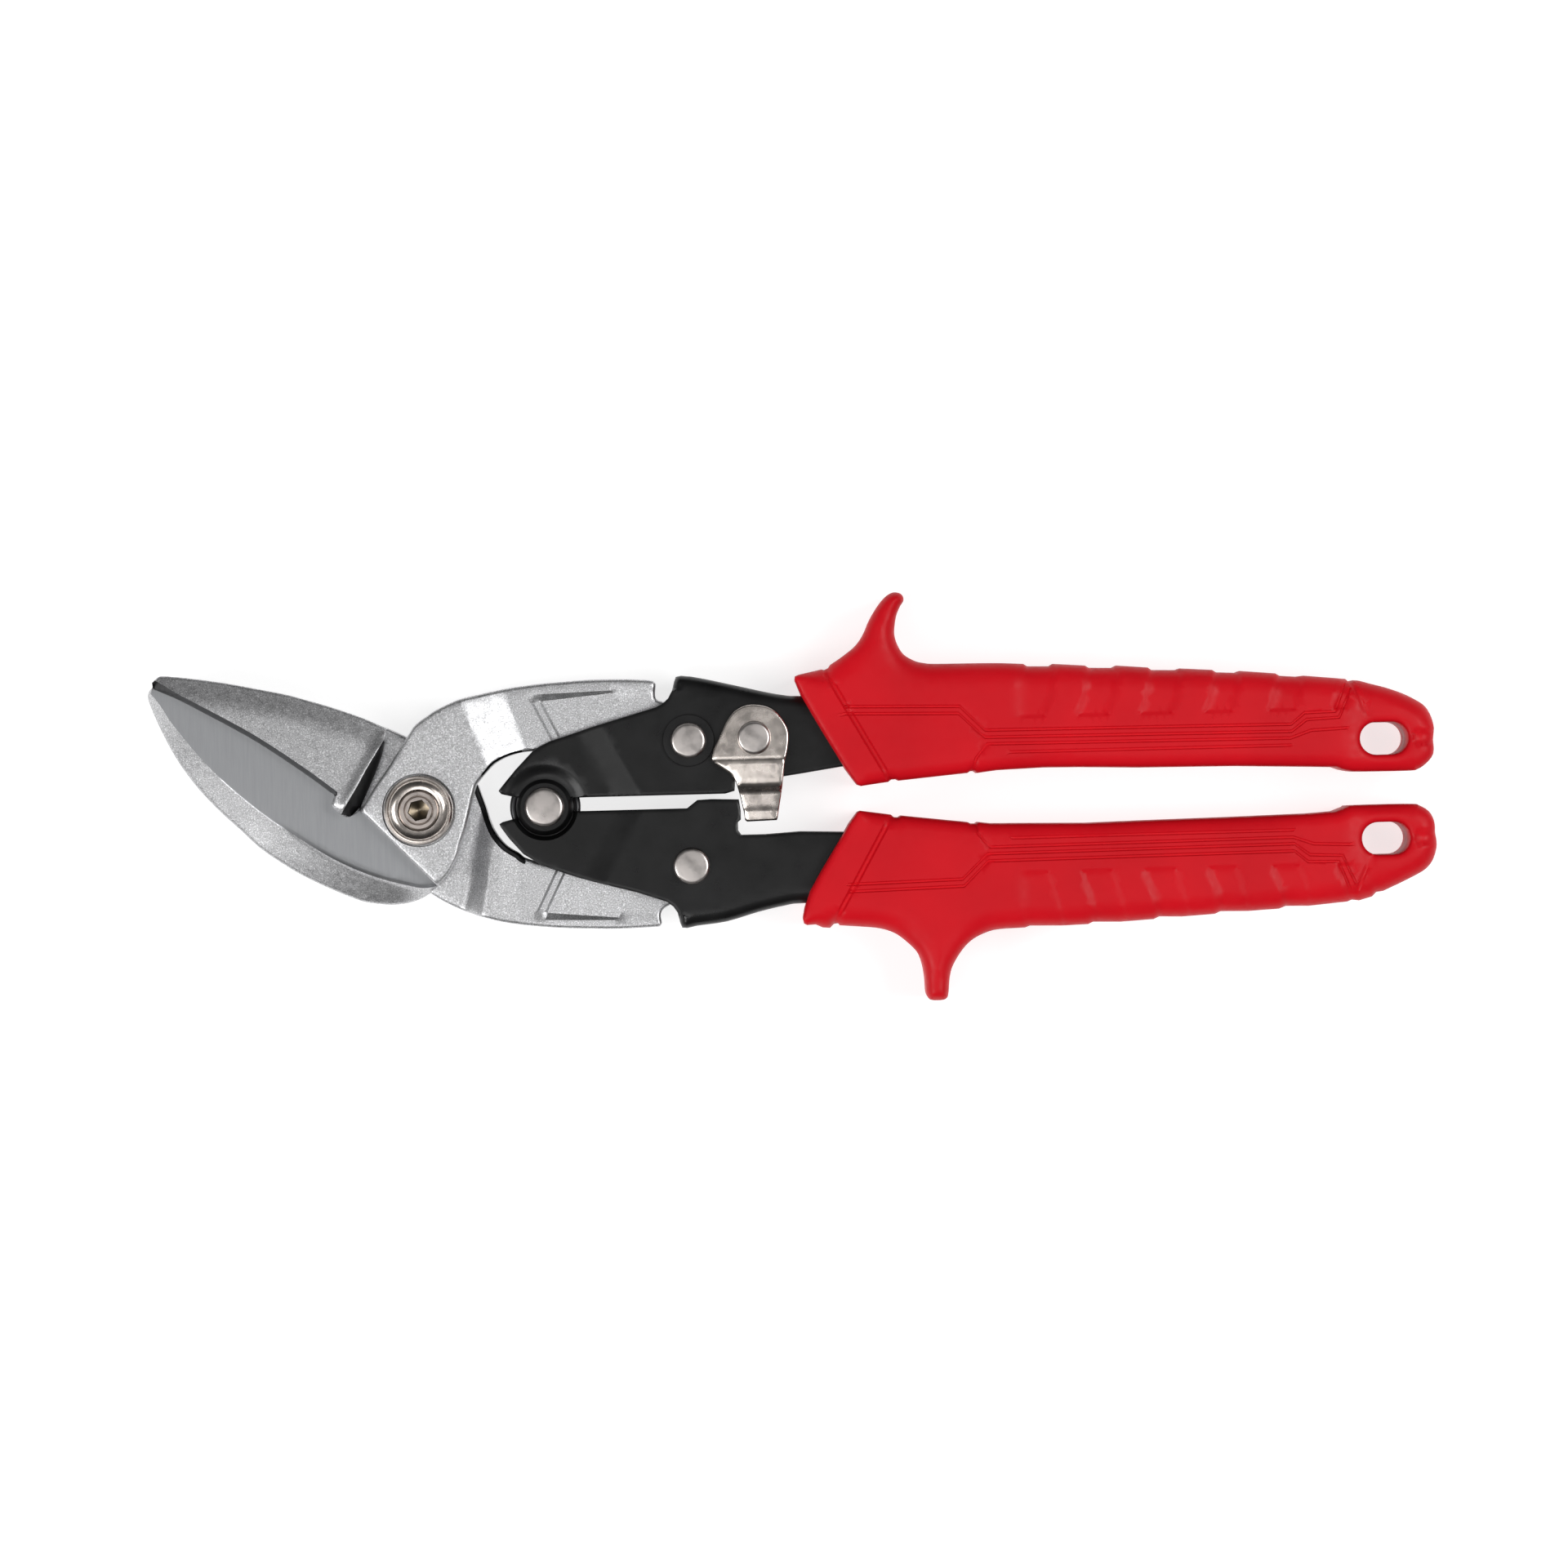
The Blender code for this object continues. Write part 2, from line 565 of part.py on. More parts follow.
UPPER_SOCKET = [
    (68, 22.2), (71.9, 21), (75.4, 20.8), (90, 20.6), (172.3, 17.8), (172.3, 7.9), (95, 6.9),
    (83, 6.1), (68, 4.2)]
UPPER_HOLE = (187.9, 190.9, 9.2)
LOWER_HOLE = (187.7, 190.8, -10.4)
HOLE_RADIUS = 3.2


def lanyard_cutter(hole):
    """A slot with round ends through a grip."""
    left, right, y = hole
    plan = arc((left, y), HOLE_RADIUS, 90, 270, 11) + arc((right, y), HOLE_RADIUS, -90, 90, 11)
    return slab("lanyard_slot", plan, -12, 12)


def grip(name, plan, socket, hole):
    """Moulded sleeve on a handle, open at the front and pierced for a lanyard."""
    obj = slab(name, plan[:-1], -HALF_GRIP, HALF_GRIP)
    bevel = obj.modifiers.new("rounding", "BEVEL")
    bevel.width = 2.6 * MM
    bevel.segments = 2
    bevel.angle_limit = math.radians(50)
    apply_modifiers(obj)
    room = CHANNEL_LEVEL + SHEET + 0.25
    cut(obj, slab("socket", socket, -room, room), lanyard_cutter(hole))
    return obj


# ---- assembly ------------------------------------------------------------------------

def collection(name):
    group = bpy.data.collections.new(name)
    bpy.context.scene.collection.children.link(group)
    return group


def paint(obj, colour, roughness, metallic):
    """Give an object a finish of its own."""
    material = bpy.data.materials.new(obj.name)
    material.use_nodes = True
    shader = material.node_tree.nodes["Principled BSDF"]
    shader.inputs["Base Color"].default_value = (*colour, 1)
    shader.inputs["Roughness"].default_value = roughness
    shader.inputs["Metallic"].default_value = metallic
    obj.data.materials.clear()
    obj.data.materials.append(material)


def soften(obj):
    if obj.type == "MESH":
        obj.data.shade_smooth()
        obj.data.set_sharp_from_angle(angle=math.radians(32))


def hang(obj, pivot, frame):
    """Put an object's origin on its pivot and its parent at the tool's frame."""
    spot = Vector((pivot[0] * MM, pivot[1] * MM, 0))
    obj.data.transform(Matrix.Translation(-spot))
    obj.location = spot
    obj.parent = frame


def build():
    frame = bpy.data.objects.new("tool_frame", None)
    frame.location = (-(TIP_X + REAR_X) / 2 * MM, -(LOWEST_Y + HIGHEST_Y) / 2 * MM, HALF_GRIP * MM)
    PARTS.objects.link(frame)
    steel = (0.56, 0.55, 0.52)
    nickel = (0.66, 0.63, 0.58)
    black = (0.02, 0.02, 0.022)
    red = (0.62, 0.01, 0.012)
    washer_top = CHANNEL_LEVEL + SHEET + 0.8
    head = CHANNEL_LEVEL + SHEET + 0.1
    pieces = [
        (front_blade(), BLADE_PIVOT, steel, 0.42, 1),
        (rear_blade(), BLADE_PIVOT, steel, 0.42, 1),
        (pivot_bolt(), BLADE_PIVOT, nickel, 0.28, 1),
        (pivot_nut(), BLADE_PIVOT, nickel, 0.28, 1),
        (pivot_washer(), BLADE_PIVOT, nickel, 0.35, 1),
        (upper_handle(), HANDLE_PIVOT, black, 0.35, 0),
        (lower_handle(), HANDLE_PIVOT, black, 0.35, 0),
        (handle_pivot_rivet(), HANDLE_PIVOT, nickel, 0.33, 1),
        (handle_pivot_sleeve(), HANDLE_PIVOT, steel, 0.45, 1),
        (handle_spring(), HANDLE_PIVOT, (0.05, 0.05, 0.05), 0.4, 1),
        (link_rivet("upper_link_rivet", UPPER_LINK, 3.5, washer_top), UPPER_LINK, nickel, 0.33, 1),
        (washer("upper_link_washer", UPPER_LINK, RIVET_HOLE, 5.1, head, washer_top - 0.1),
         UPPER_LINK, black, 0.4, 0),
        (link_bush("upper_link_bush", UPPER_LINK), UPPER_LINK, steel, 0.45, 1),
        (link_rivet("lower_link_rivet", LOWER_LINK, 3.6, head), LOWER_LINK, nickel, 0.33, 1),
        (link_bush("lower_link_bush", LOWER_LINK), LOWER_LINK, steel, 0.45, 1),
        (latch(), LATCH_PIVOT, nickel, 0.25, 1),
        (latch_rivet(), LATCH_PIVOT, nickel, 0.33, 1),
        (latch_washer(), LATCH_PIVOT, steel, 0.45, 1),
        (grip("upper_grip", UPPER_GRIP_PLAN, UPPER_SOCKET, UPPER_HOLE), HANDLE_PIVOT, red, 0.45, 0),
        (grip("lower_grip", LOWER_GRIP_PLAN, mirrored(UPPER_SOCKET), LOWER_HOLE),
         HANDLE_PIVOT, red, 0.45, 0),
    ]
    for link, pivot in (("upper_link", UPPER_LINK), ("lower_link", LOWER_LINK)):
        for place, side in (("front", 1), ("back", -1)):
            shim = link_shim(f"{link}_{place}_shim", pivot, side)
            pieces.append((shim, pivot, steel, 0.45, 1))
    for obj, pivot, colour, roughness, metallic in pieces:
        paint(obj, colour, roughness, metallic)
        soften(obj)
        hang(obj, pivot, frame)


for old in list(bpy.data.objects):
    bpy.data.objects.remove(old)
PARTS = collection("aviation_snips")
build()
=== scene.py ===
"""Looks of the aviation snips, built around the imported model.

Shapes are drawn in millimetres from the blade pivot, with heights from the tool's middle
plane. The blades, handles, grips and catch are reliefs: a plan with a height at each point.
"""
import math

import bpy
import numpy as np
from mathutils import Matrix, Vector, geometry


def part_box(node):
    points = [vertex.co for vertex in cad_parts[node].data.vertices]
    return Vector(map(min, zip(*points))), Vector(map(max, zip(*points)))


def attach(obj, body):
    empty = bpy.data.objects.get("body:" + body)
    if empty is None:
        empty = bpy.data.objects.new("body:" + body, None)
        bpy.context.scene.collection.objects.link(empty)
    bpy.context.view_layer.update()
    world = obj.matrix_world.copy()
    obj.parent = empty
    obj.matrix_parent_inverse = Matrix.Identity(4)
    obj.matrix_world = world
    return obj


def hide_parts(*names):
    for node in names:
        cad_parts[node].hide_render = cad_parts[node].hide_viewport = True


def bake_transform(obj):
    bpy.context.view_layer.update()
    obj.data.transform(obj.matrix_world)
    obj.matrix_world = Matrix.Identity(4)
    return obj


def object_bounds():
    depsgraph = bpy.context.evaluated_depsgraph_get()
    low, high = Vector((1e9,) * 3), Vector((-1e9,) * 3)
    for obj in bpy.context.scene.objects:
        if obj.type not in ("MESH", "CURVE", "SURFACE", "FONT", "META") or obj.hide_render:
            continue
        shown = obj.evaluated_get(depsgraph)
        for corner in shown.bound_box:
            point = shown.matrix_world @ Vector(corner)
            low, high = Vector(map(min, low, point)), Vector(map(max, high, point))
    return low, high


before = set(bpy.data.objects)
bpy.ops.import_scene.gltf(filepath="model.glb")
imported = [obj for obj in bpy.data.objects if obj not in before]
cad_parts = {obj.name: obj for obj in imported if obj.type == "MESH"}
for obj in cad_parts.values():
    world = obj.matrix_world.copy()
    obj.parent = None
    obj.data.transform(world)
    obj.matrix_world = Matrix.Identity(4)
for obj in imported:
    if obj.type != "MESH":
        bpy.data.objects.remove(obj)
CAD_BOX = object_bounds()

MM = 0.001
TAU = 2 * math.pi
SHARP_ANGLE = 34


def node_centre(node):
    low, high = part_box(node)
    return (np.array(low) + np.array(high)) / 2


ORIGIN = np.array([*node_centre("pivot_bolt")[:2], (CAD_BOX[0][2] + CAD_BOX[1][2]) / 2])


def pivot_of(node):
    """A node's centre in the plan, in millimetres from the blade pivot."""
    return tuple((node_centre(node)[:2] - ORIGIN[:2]) / MM)


BLADE_PIVOT = (0.0, 0.0)
HANDLE_PIVOT = pivot_of("handle_pivot_rivet")
UPPER_LINK = pivot_of("upper_link_rivet")
LOWER_LINK = pivot_of("lower_link_rivet")
LATCH_PIVOT = pivot_of("latch_rivet")

# Heights from the middle plane.
HALF_GRIP = 9.5
MEETING_GAP = 0.06
BOSS_TOP = 6.2
BOSS_BACK = -5.9
TAIL_HALF = 3.5
SHEAR_LEVEL = 2.6
UPPER_JAW_LEVEL = 2.72
JAW_BACK = -4.0
SHEET = 1.6
NOSE_LEVEL = 3.8
CHANNEL_LEVEL = 4.5
INNER_LOBE_LEVEL = 2.1


# Plan geometry.

def arc(centre, radius, start, end, count):
    angles = np.radians(np.linspace(start, end, count))
    return [(centre[0] + radius * math.cos(a), centre[1] + radius * math.sin(a)) for a in angles]


def ring(centre, radius, count=72):
    return arc(centre, radius, 0, 360, count + 1)[:-1]


def smooth(points, steps=5):
    """A Catmull-Rom curve through the points, open at both ends."""
    knots = [np.array(p, float) for p in points]
    knots = [2 * knots[0] - knots[1]] + knots + [2 * knots[-1] - knots[-2]]
    curve = []
    for a, b, c, d in zip(knots, knots[1:], knots[2:], knots[3:]):
        for t in np.arange(steps) / steps:
            curve.append(0.5 * (2 * b + (c - a) * t + (2 * a - 5 * b + 4 * c - d) * t ** 2
                                + (3 * b - a - 3 * c + d) * t ** 3))
    curve.append(knots[-2])
    return [tuple(float(v) for v in p) for p in curve]


def mirrored(points):
    return [(x, -y) for x, y in points]


def left_of(headings):
    """The unit vector to the left of each heading."""
    ahead = headings / np.hypot(headings[:, 0], headings[:, 1])[:, None]
    return np.stack([-ahead[:, 1], ahead[:, 0]], 1)


def offset(points, gap):
    """The open line moved to its left by a gap."""
    line = np.array(points, float)
    return [tuple(p) for p in line + gap * left_of(np.gradient(line, axis=0))]


def densify(points, longest, closed=True):
    """The line with points added, so that no piece is longer than the longest."""
    line = np.array(points, float)
    if closed:
        line = np.vstack([line, line[:1]])
    out = []
    for a, b in zip(line, line[1:]):
        count = max(1, math.ceil(np.hypot(*(b - a)) / longest))
        out.extend(a + (b - a) * k / count for k in range(count))
    if not closed:
        out.append(line[-1])
    return np.array(out)


def distance(points, line, closed=False):
    """Distance from each point to a line of straight pieces."""
    ends = np.array(line, float)
    if closed:
        ends = np.vstack([ends, ends[:1]])
    best = np.full(len(points), np.inf)
    for a, b in zip(ends, ends[1:]):
        span = b - a
        t = np.clip((points - a) @ span / max(span @ span, 1e-12), 0, 1)
        gap = points - a - t[:, None] * span
        best = np.minimum(best, np.hypot(gap[:, 0], gap[:, 1]))
    return best


def inside(points, outline):
    """Whether each point lies inside a closed outline."""
    ends = np.array(outline, float)
    x, y = points[:, 0], points[:, 1]
    result = np.zeros(len(points), bool)
    for (ax, ay), (bx, by) in zip(ends, np.roll(ends, -1, axis=0)):
        if ay == by:
            continue
        crossing = (ay > y) != (by > y)
        result ^= crossing & (x < (bx - ax) * (y - ay) / (by - ay) + ax)
    return result


def from_centre(points, centre):
    return np.hypot(points[:, 0] - centre[0], points[:, 1] - centre[1])


def across(line, points):
    """How far each point lies to the left of a straight line."""
    (ax, ay), (bx, by) = line
    length = math.hypot(bx - ax, by - ay)
    return ((bx - ax) * (points[:, 1] - ay) - (by - ay) * (points[:, 0] - ax)) / length


def step(value, start, end):
    """0 before start, 1 after end, and a smooth rise between them."""
    t = np.clip((value - start) / (end - start), 0, 1)
    return t * t * (3 - 2 * t)


def dip(gap, width):
    """1 on a line and 0 half a width away from it."""
    return 1 - step(np.abs(gap), 0.2 * width, 0.5 * width)


def kept_runs(line, keep):
    """The stretches of a line whose points are kept."""
    runs = np.split(np.arange(len(line)), np.flatnonzero(np.diff(keep.astype(int))) + 1)
    return [line[run] for run in runs if keep[run[0]] and len(run) > 1]


# Meshes.

RIM_ROWS = (0.05, 0.16, 0.34, 0.62, 1.0)
ROW_SPACING = 0.866
CREASE_GAP = 0.12
THINNEST = 0.05


def to_world(points):
    return np.asarray(points, float) * MM + ORIGIN


def place_object(name, data):
    obj = bpy.data.objects.new(name, data)
    bpy.context.scene.collection.objects.link(obj)
    return obj


def world_mesh(name, vertices, faces, sharp=SHARP_ANGLE):
    mesh = bpy.data.meshes.new(name)
    mesh.from_pydata(vertices, [], faces)
    mesh.validate()
    mesh.shade_smooth()
    mesh.set_sharp_from_angle(angle=math.radians(sharp))
    return place_object(name, mesh)


def new_mesh(name, vertices, faces, sharp=SHARP_ANGLE):
    return world_mesh(name, to_world(vertices).tolist(), faces, sharp)


def value_at(value, points):
    return value(points) if callable(value) else np.full(len(points), float(value))


def fall(edge, radius):
    """How far a rounded rim lies under the surface, at each distance from the edge."""
    t = np.clip(1 - edge / np.maximum(radius, 1e-6), 0, 1)
    return radius * (1 - np.sqrt(np.clip(1 - t * t, 0, 1)))


def plan_points(loops, lines, radius, pitch):
    """Points inside an outline: rows that follow its rim, and an even field inside them."""
    outline = loops[0]

    def rim(points):
        return np.min([distance(points, loop, True) for loop in loops], axis=0)

    fields = []
    for share in RIM_ROWS:
        gap = share * radius
        for loop in loops:
            side = left_of(np.roll(loop, -1, axis=0) - np.roll(loop, 1, axis=0))
            for sign in (1, -1):
                row = loop + sign * gap * side
                fields.append(row[rim(row) > 0.93 * gap])
    low = outline.min(0)
    high = outline.max(0)
    rows = np.arange(low[1], high[1], pitch * ROW_SPACING)
    columns = np.arange(low[0], high[0], pitch)
    grid = np.vstack([np.stack([columns + (k % 2) * pitch / 2, np.full(len(columns), y)], 1)
                      for k, y in enumerate(rows)])
    grid = grid[inside(grid, outline)]
    fields.append(grid[rim(grid) > radius + 0.45 * pitch])
    points = np.vstack(fields)
    points = points[within(points, loops)]
    for line in lines:
        points = points[distance(points, line) > 0.22 * pitch]
    keys = np.round(points / (0.18 * min(pitch, max(radius, 0.4)))).astype(int)
    return points[np.unique(keys, axis=0, return_index=True)[1]]


def within(points, loops):
    """Whether each point lies inside the first loop and outside the holes."""
    result = inside(points, loops[0])
    for hole in loops[1:]:
        result &= ~inside(points, hole)
    return result


def triangulated(loops, lines, free):
    """A plan's points and its triangles, all facing up, with edges along loops and lines."""
    points = []
    edges = []
    for chain, closed in [(loop, True) for loop in loops] + [(line, False) for line in lines]:
        start = len(points)
        points.extend(chain)
        edges.extend((start + k, start + k + 1) for k in range(len(chain) - 1))
        if closed:
            edges.append((start + len(chain) - 1, start))
    points.extend(free)
    found = geometry.delaunay_2d_cdt([Vector(p) for p in points], edges, [], 0, 1e-4)
    plan = np.array([v[:] for v in found[0]])
    triangles = np.array([f for f in found[2] if len(f) == 3])
    triangles = triangles[within(plan[triangles].mean(1), loops)]
    a, b, c = plan[triangles].transpose(1, 0, 2)
    area = (b[:, 0] - a[:, 0]) * (c[:, 1] - a[:, 1]) - (b[:, 1] - a[:, 1]) * (c[:, 0] - a[:, 0])
    triangles = triangles[np.abs(area) > 1e-9]
    area = area[np.abs(area) > 1e-9]
    triangles[area < 0] = triangles[area < 0][:, ::-1]
    used = np.unique(triangles)
    renumber = np.zeros(len(plan), int)
    renumber[used] = np.arange(len(used))
    return plan[used], renumber[triangles]


def border(triangles):
    """The edges that belong to one triangle only."""
    sides = {}
    for i, j, k in triangles.tolist():
        for side in ((i, j), (j, k), (k, i)):
            if side[::-1] in sides:
                del sides[side[::-1]]
            else:
                sides[side] = True
    return list(sides)


def relief(name, outline, top, bottom, holes=(), creases=(), pitch=1.5, spacing=0.7,
           rim=0.6, under_rim=0.5, hole_rim=0.35, slots=None, widest=None, sharp=SHARP_ANGLE):
    """A closed solid over a plan, with heights from functions and a rounded rim."""
    loops = [densify(outline, spacing)] + [densify(hole, spacing) for hole in holes]
    lines = []
    for crease in creases:
        line = densify(crease, spacing, False)
        clear = within(line, loops) & (distance(line, loops[0], True) > CREASE_GAP)
        lines.extend(kept_runs(line, clear))
    free = plan_points(loops, lines, widest or (rim if not callable(rim) else 1.0), pitch)
    plan, triangles = triangulated(loops, lines, free)
    edge = distance(plan, loops[0], True)
    high = value_at(top, plan) - fall(edge, value_at(rim, plan))
    low = value_at(bottom, plan) + fall(edge, value_at(under_rim, plan))
    for loop in loops[1:]:
        worn = fall(distance(plan, loop, True), hole_rim)
        high -= worn
        low += worn
    low = np.minimum(low, high - THINNEST)
    count = len(plan)
    vertices = np.vstack([np.column_stack([plan, high]), np.column_stack([plan, low])])
    walls = [(i, i + count, j + count, j) for i, j in border(triangles)]
    faces = triangles.tolist() + (triangles[:, ::-1] + count).tolist() + walls
    obj = new_mesh(name, vertices, faces, sharp)
    if slots is not None:
        chosen = slots(plan[triangles].mean(1)).astype(int).tolist()
        indices = chosen + [0] * (len(obj.data.polygons) - len(chosen))
        obj.data.polygons.foreach_set("material_index", indices)
    return obj


def turned(name, centre, profile, closed=False, sides=96, sharp=SHARP_ANGLE):
    """A profile of radius and height turned about a pivot."""
    angles = np.arange(sides) * TAU / sides
    vertices = []
    rows = []
    for radius, height in profile:
        if radius == 0:
            rows.append([len(vertices)] * sides)
            vertices.append((centre[0], centre[1], height))
            continue
        rows.append(list(range(len(vertices), len(vertices) + sides)))
        vertices.extend((centre[0] + radius * math.cos(a), centre[1] + radius * math.sin(a), height)
                        for a in angles)
    faces = []
    pairs = list(zip(rows, rows[1:])) + ([(rows[-1], rows[0])] if closed else [])
    for upper, lower in pairs:
        for k in range(sides):
            j = (k + 1) % sides
            face = [upper[k], lower[k], lower[j], upper[j]]
            faces.append(list(dict.fromkeys(face)))
    return new_mesh(name, vertices, faces, sharp)


def soft_ring(name, centre, inner, outer, low, high, bevel=0.12):
    """A flat ring with its four edges broken."""
    profile = [(inner + bevel, high), (outer - bevel, high), (outer, high - bevel),
               (outer, low + bevel), (outer - bevel, low), (inner + bevel, low),
               (inner, low + bevel), (inner, high - bevel)]
    return turned(name, centre, profile, closed=True)


def tube(name, route, radius, sides=14):
    """A round wire along a route, closed at both ends."""
    path = np.array(route, float)
    ahead = np.gradient(path, axis=0)
    ahead /= np.linalg.norm(ahead, axis=1)[:, None]
    vertices = []
    for point, heading in zip(path, ahead):
        side = np.cross(heading, (0, 0, 1))
        side /= np.linalg.norm(side)
        up = np.cross(side, heading)
        for k in range(sides):
            angle = TAU * k / sides
            vertices.append(point + radius * (math.cos(angle) * side + math.sin(angle) * up))
    faces = []
    for row in range(len(path) - 1):
        for k in range(sides):
            j = (k + 1) % sides
            a = row * sides
            faces.append([a + k, a + j, a + sides + j, a + sides + k])
    faces.append(list(range(sides))[::-1])
    faces.append([len(vertices) - sides + k for k in range(sides)])
    obj = new_mesh(name, vertices, faces)
    volume = sum(v.co.dot(v.normal) for v in obj.data.vertices)
    if volume < 0:
        obj.data.flip_normals()
    return obj


def joined(name, objects):
    """Several closed meshes as one piece."""
    vertices = []
    faces = []
    indices = []
    for obj in objects:
        start = len(vertices)
        vertices.extend(v.co[:] for v in obj.data.vertices)
        faces.extend([start + i for i in p.vertices] for p in obj.data.polygons)
        indices.extend(p.material_index for p in obj.data.polygons)
        bpy.data.objects.remove(obj)
    obj = world_mesh(name, vertices, faces)
    obj.data.polygons.foreach_set("material_index", indices)
    return obj


def reflected(obj):
    """A copy of a solid on the other side of the middle plane."""
    points = np.array([v.co[:] for v in obj.data.vertices])
    points[:, 2] = 2 * ORIGIN[2] - points[:, 2]
    faces = [list(p.vertices)[::-1] for p in obj.data.polygons]
    return new_mesh(obj.name + "_back", (points - ORIGIN) / MM, faces)


# Materials.

def add_node(tree, kind, **values):
    """A shader node with values on its inputs; _ stands for a space in an input's name."""
    node = tree.nodes.new("ShaderNode" + kind)
    for key, value in values.items():
        node.inputs[key.replace("_", " ")].default_value = value
    return node


def map_range(tree, source, start, end, low, high):
    """A node that carries one range of values over to another."""
    node = add_node(tree, "MapRange", From_Min=start, From_Max=end, To_Min=low, To_Max=high)
    tree.links.new(source, node.inputs["Value"])
    return node.outputs["Result"]


class Finish:
    """A Principled material with helpers for its noise, colour and bump."""

    def __init__(self, name, metallic, colour, roughness):
        self.material = bpy.data.materials.new(name)
        self.material.use_nodes = True
        self.tree = self.material.node_tree
        self.shader = self.tree.nodes["Principled BSDF"]
        self.shader.inputs["Metallic"].default_value = metallic
        self.shader.inputs["Base Color"].default_value = (*colour, 1)
        self.shader.inputs["Roughness"].default_value = roughness
        self.place = add_node(self.tree, "TexCoord").outputs["Object"]

    def link(self, source, target):
        self.tree.links.new(source, target)

    def sheen(self, level):
        """Strength of a non-metal's reflection."""
        self.shader.inputs["Specular IOR Level"].default_value = level

    def stretch(self, scale, turn):
        """Object coordinates scaled along each axis, for grain that runs one way."""
        node = add_node(self.tree, "Mapping", Scale=scale, Rotation=(0, 0, turn))
        self.link(self.place, node.inputs["Vector"])
        return node.outputs["Vector"]

    def noise(self, scale, detail=3.0, place=None):
        node = add_node(self.tree, "TexNoise", Scale=scale, Detail=detail)
        self.link(place or self.place, node.inputs["Vector"])
        return node.outputs["Fac"]

    def colours(self, source, stops):
        node = add_node(self.tree, "ValToRGB")
        ramp = node.color_ramp
        while len(ramp.elements) < len(stops):
            ramp.elements.new(0.5)
        for element, (place, colour) in zip(ramp.elements, stops):
            element.position = place
            element.color = (*colour, 1)
        self.link(source, node.inputs["Fac"])
        self.link(node.outputs["Color"], self.shader.inputs["Base Color"])

    def rough(self, source, low, high):
        """Roughness that follows a noise between two values."""
        spread = map_range(self.tree, source, 0.3, 0.7, low, high)
        self.link(spread, self.shader.inputs["Roughness"])

    def bump(self, source, height_mm, strength, under=None):
        node = add_node(self.tree, "Bump", Distance=height_mm * MM, Strength=strength)
        self.link(source, node.inputs["Height"])
        if under is not None:
            self.link(under, node.inputs["Normal"])
        self.link(node.outputs["Normal"], self.shader.inputs["Normal"])
        return node.outputs["Normal"]

    def two_bumps(self, fine, fine_strength, coarse, coarse_strength):
        """A fine texture over a coarser one, both 0.02 mm high."""
        first = self.bump(fine, 0.02, fine_strength)
        self.bump(self.noise(coarse, 2.0), 0.02, coarse_strength, first)


def forged_steel():
    """Satin plating over a sand-blasted forging: fine bright and dark specks."""
    f = Finish("forged_steel", 0.9, (0.6, 0.6, 0.6), 0.42)
    speck = f.noise(4300, 2.0)
    f.colours(speck, [(0.34, (0.34, 0.34, 0.345)), (0.46, (0.50, 0.50, 0.51)),
                      (0.57, (0.56, 0.56, 0.57)), (0.67, (0.86, 0.86, 0.87))])
    f.rough(f.noise(900, 3.0), 0.36, 0.48)
    f.two_bumps(speck, 0.7, 420, 0.3)
    return f.material


def ground_steel():
    """The jaw's ground shear face, with faint grinding lines across it."""
    f = Finish("ground_steel", 0.9, (0.41, 0.415, 0.425), 0.4)
    lines = f.noise(1.0, 3.0, f.stretch((2600, 160, 200), math.radians(-38)))
    f.colours(lines, [(0.3, (0.295, 0.30, 0.31)), (0.7, (0.32, 0.325, 0.335))])
    f.rough(f.noise(300, 2.0), 0.38, 0.44)
    f.bump(lines, 0.001, 0.4)
    return f.material


def painted_shade_steel(name, colour):
    """Steel darkened as painted shade on steep or shaded facets: the cutting bevel, the heel wall
    and the inner bows.
    """
    f = Finish(name, 0.9, colour, 0.4)
    lines = f.noise(1.0, 2.0, f.stretch((2400, 300, 400), math.radians(-30)))
    f.colours(lines, [(0.3, tuple(0.85 * c for c in colour)),
                      (0.75, tuple(1.2 * c for c in colour))])
    f.bump(lines, 0.004, 0.5)
    return f.material


def nickel(name, colour, roughness, wear):
    """Bright plating with soft handling marks."""
    f = Finish(name, 1.0, colour, roughness)
    cloud = f.noise(420, 5.0)
    dark = tuple(0.74 * c for c in colour)
    f.colours(cloud, [(0.34, dark), (0.58, colour)])
    f.rough(cloud, roughness - wear, roughness + wear)
    f.bump(f.noise(1500, 2.0), 0.008, 0.4)
    return f.material


def coated_sheet():
    """Black semi-gloss coat on sheet steel, with a fine orange-peel surface."""
    f = Finish("coated_sheet", 0.0, (0.018, 0.018, 0.019), 0.36)
    f.sheen(0.3)
    f.colours(f.noise(90, 4.0), [(0.3, (0.003, 0.003, 0.0031)), (0.7, (0.008, 0.008, 0.0083))])
    f.rough(f.noise(240, 4.0), 0.26, 0.38)
    f.two_bumps(f.noise(1300, 2.0), 0.35, 200, 0.2)
    return f.material


def red_plastic():
    """Moulded plastic with a fine matt texture."""
    f = Finish("red_plastic", 0.0, (0.62, 0.006, 0.013), 0.42)
    f.sheen(0.14)
    f.colours(f.noise(60, 3.0), [(0.3, (0.56, 0.0045, 0.011)), (0.7, (0.64, 0.0055, 0.013))])
    f.rough(f.noise(700, 3.0), 0.36, 0.5)
    f.two_bumps(f.noise(1700, 2.0), 0.3, 240, 0.15)
    return f.material


def dark_wire():
    f = Finish("spring_wire", 0.6, (0.03, 0.03, 0.032), 0.34)
    f.rough(f.noise(500, 3.0), 0.28, 0.42)
    f.bump(f.noise(1200, 2.0), 0.01, 0.4)
    return f.material


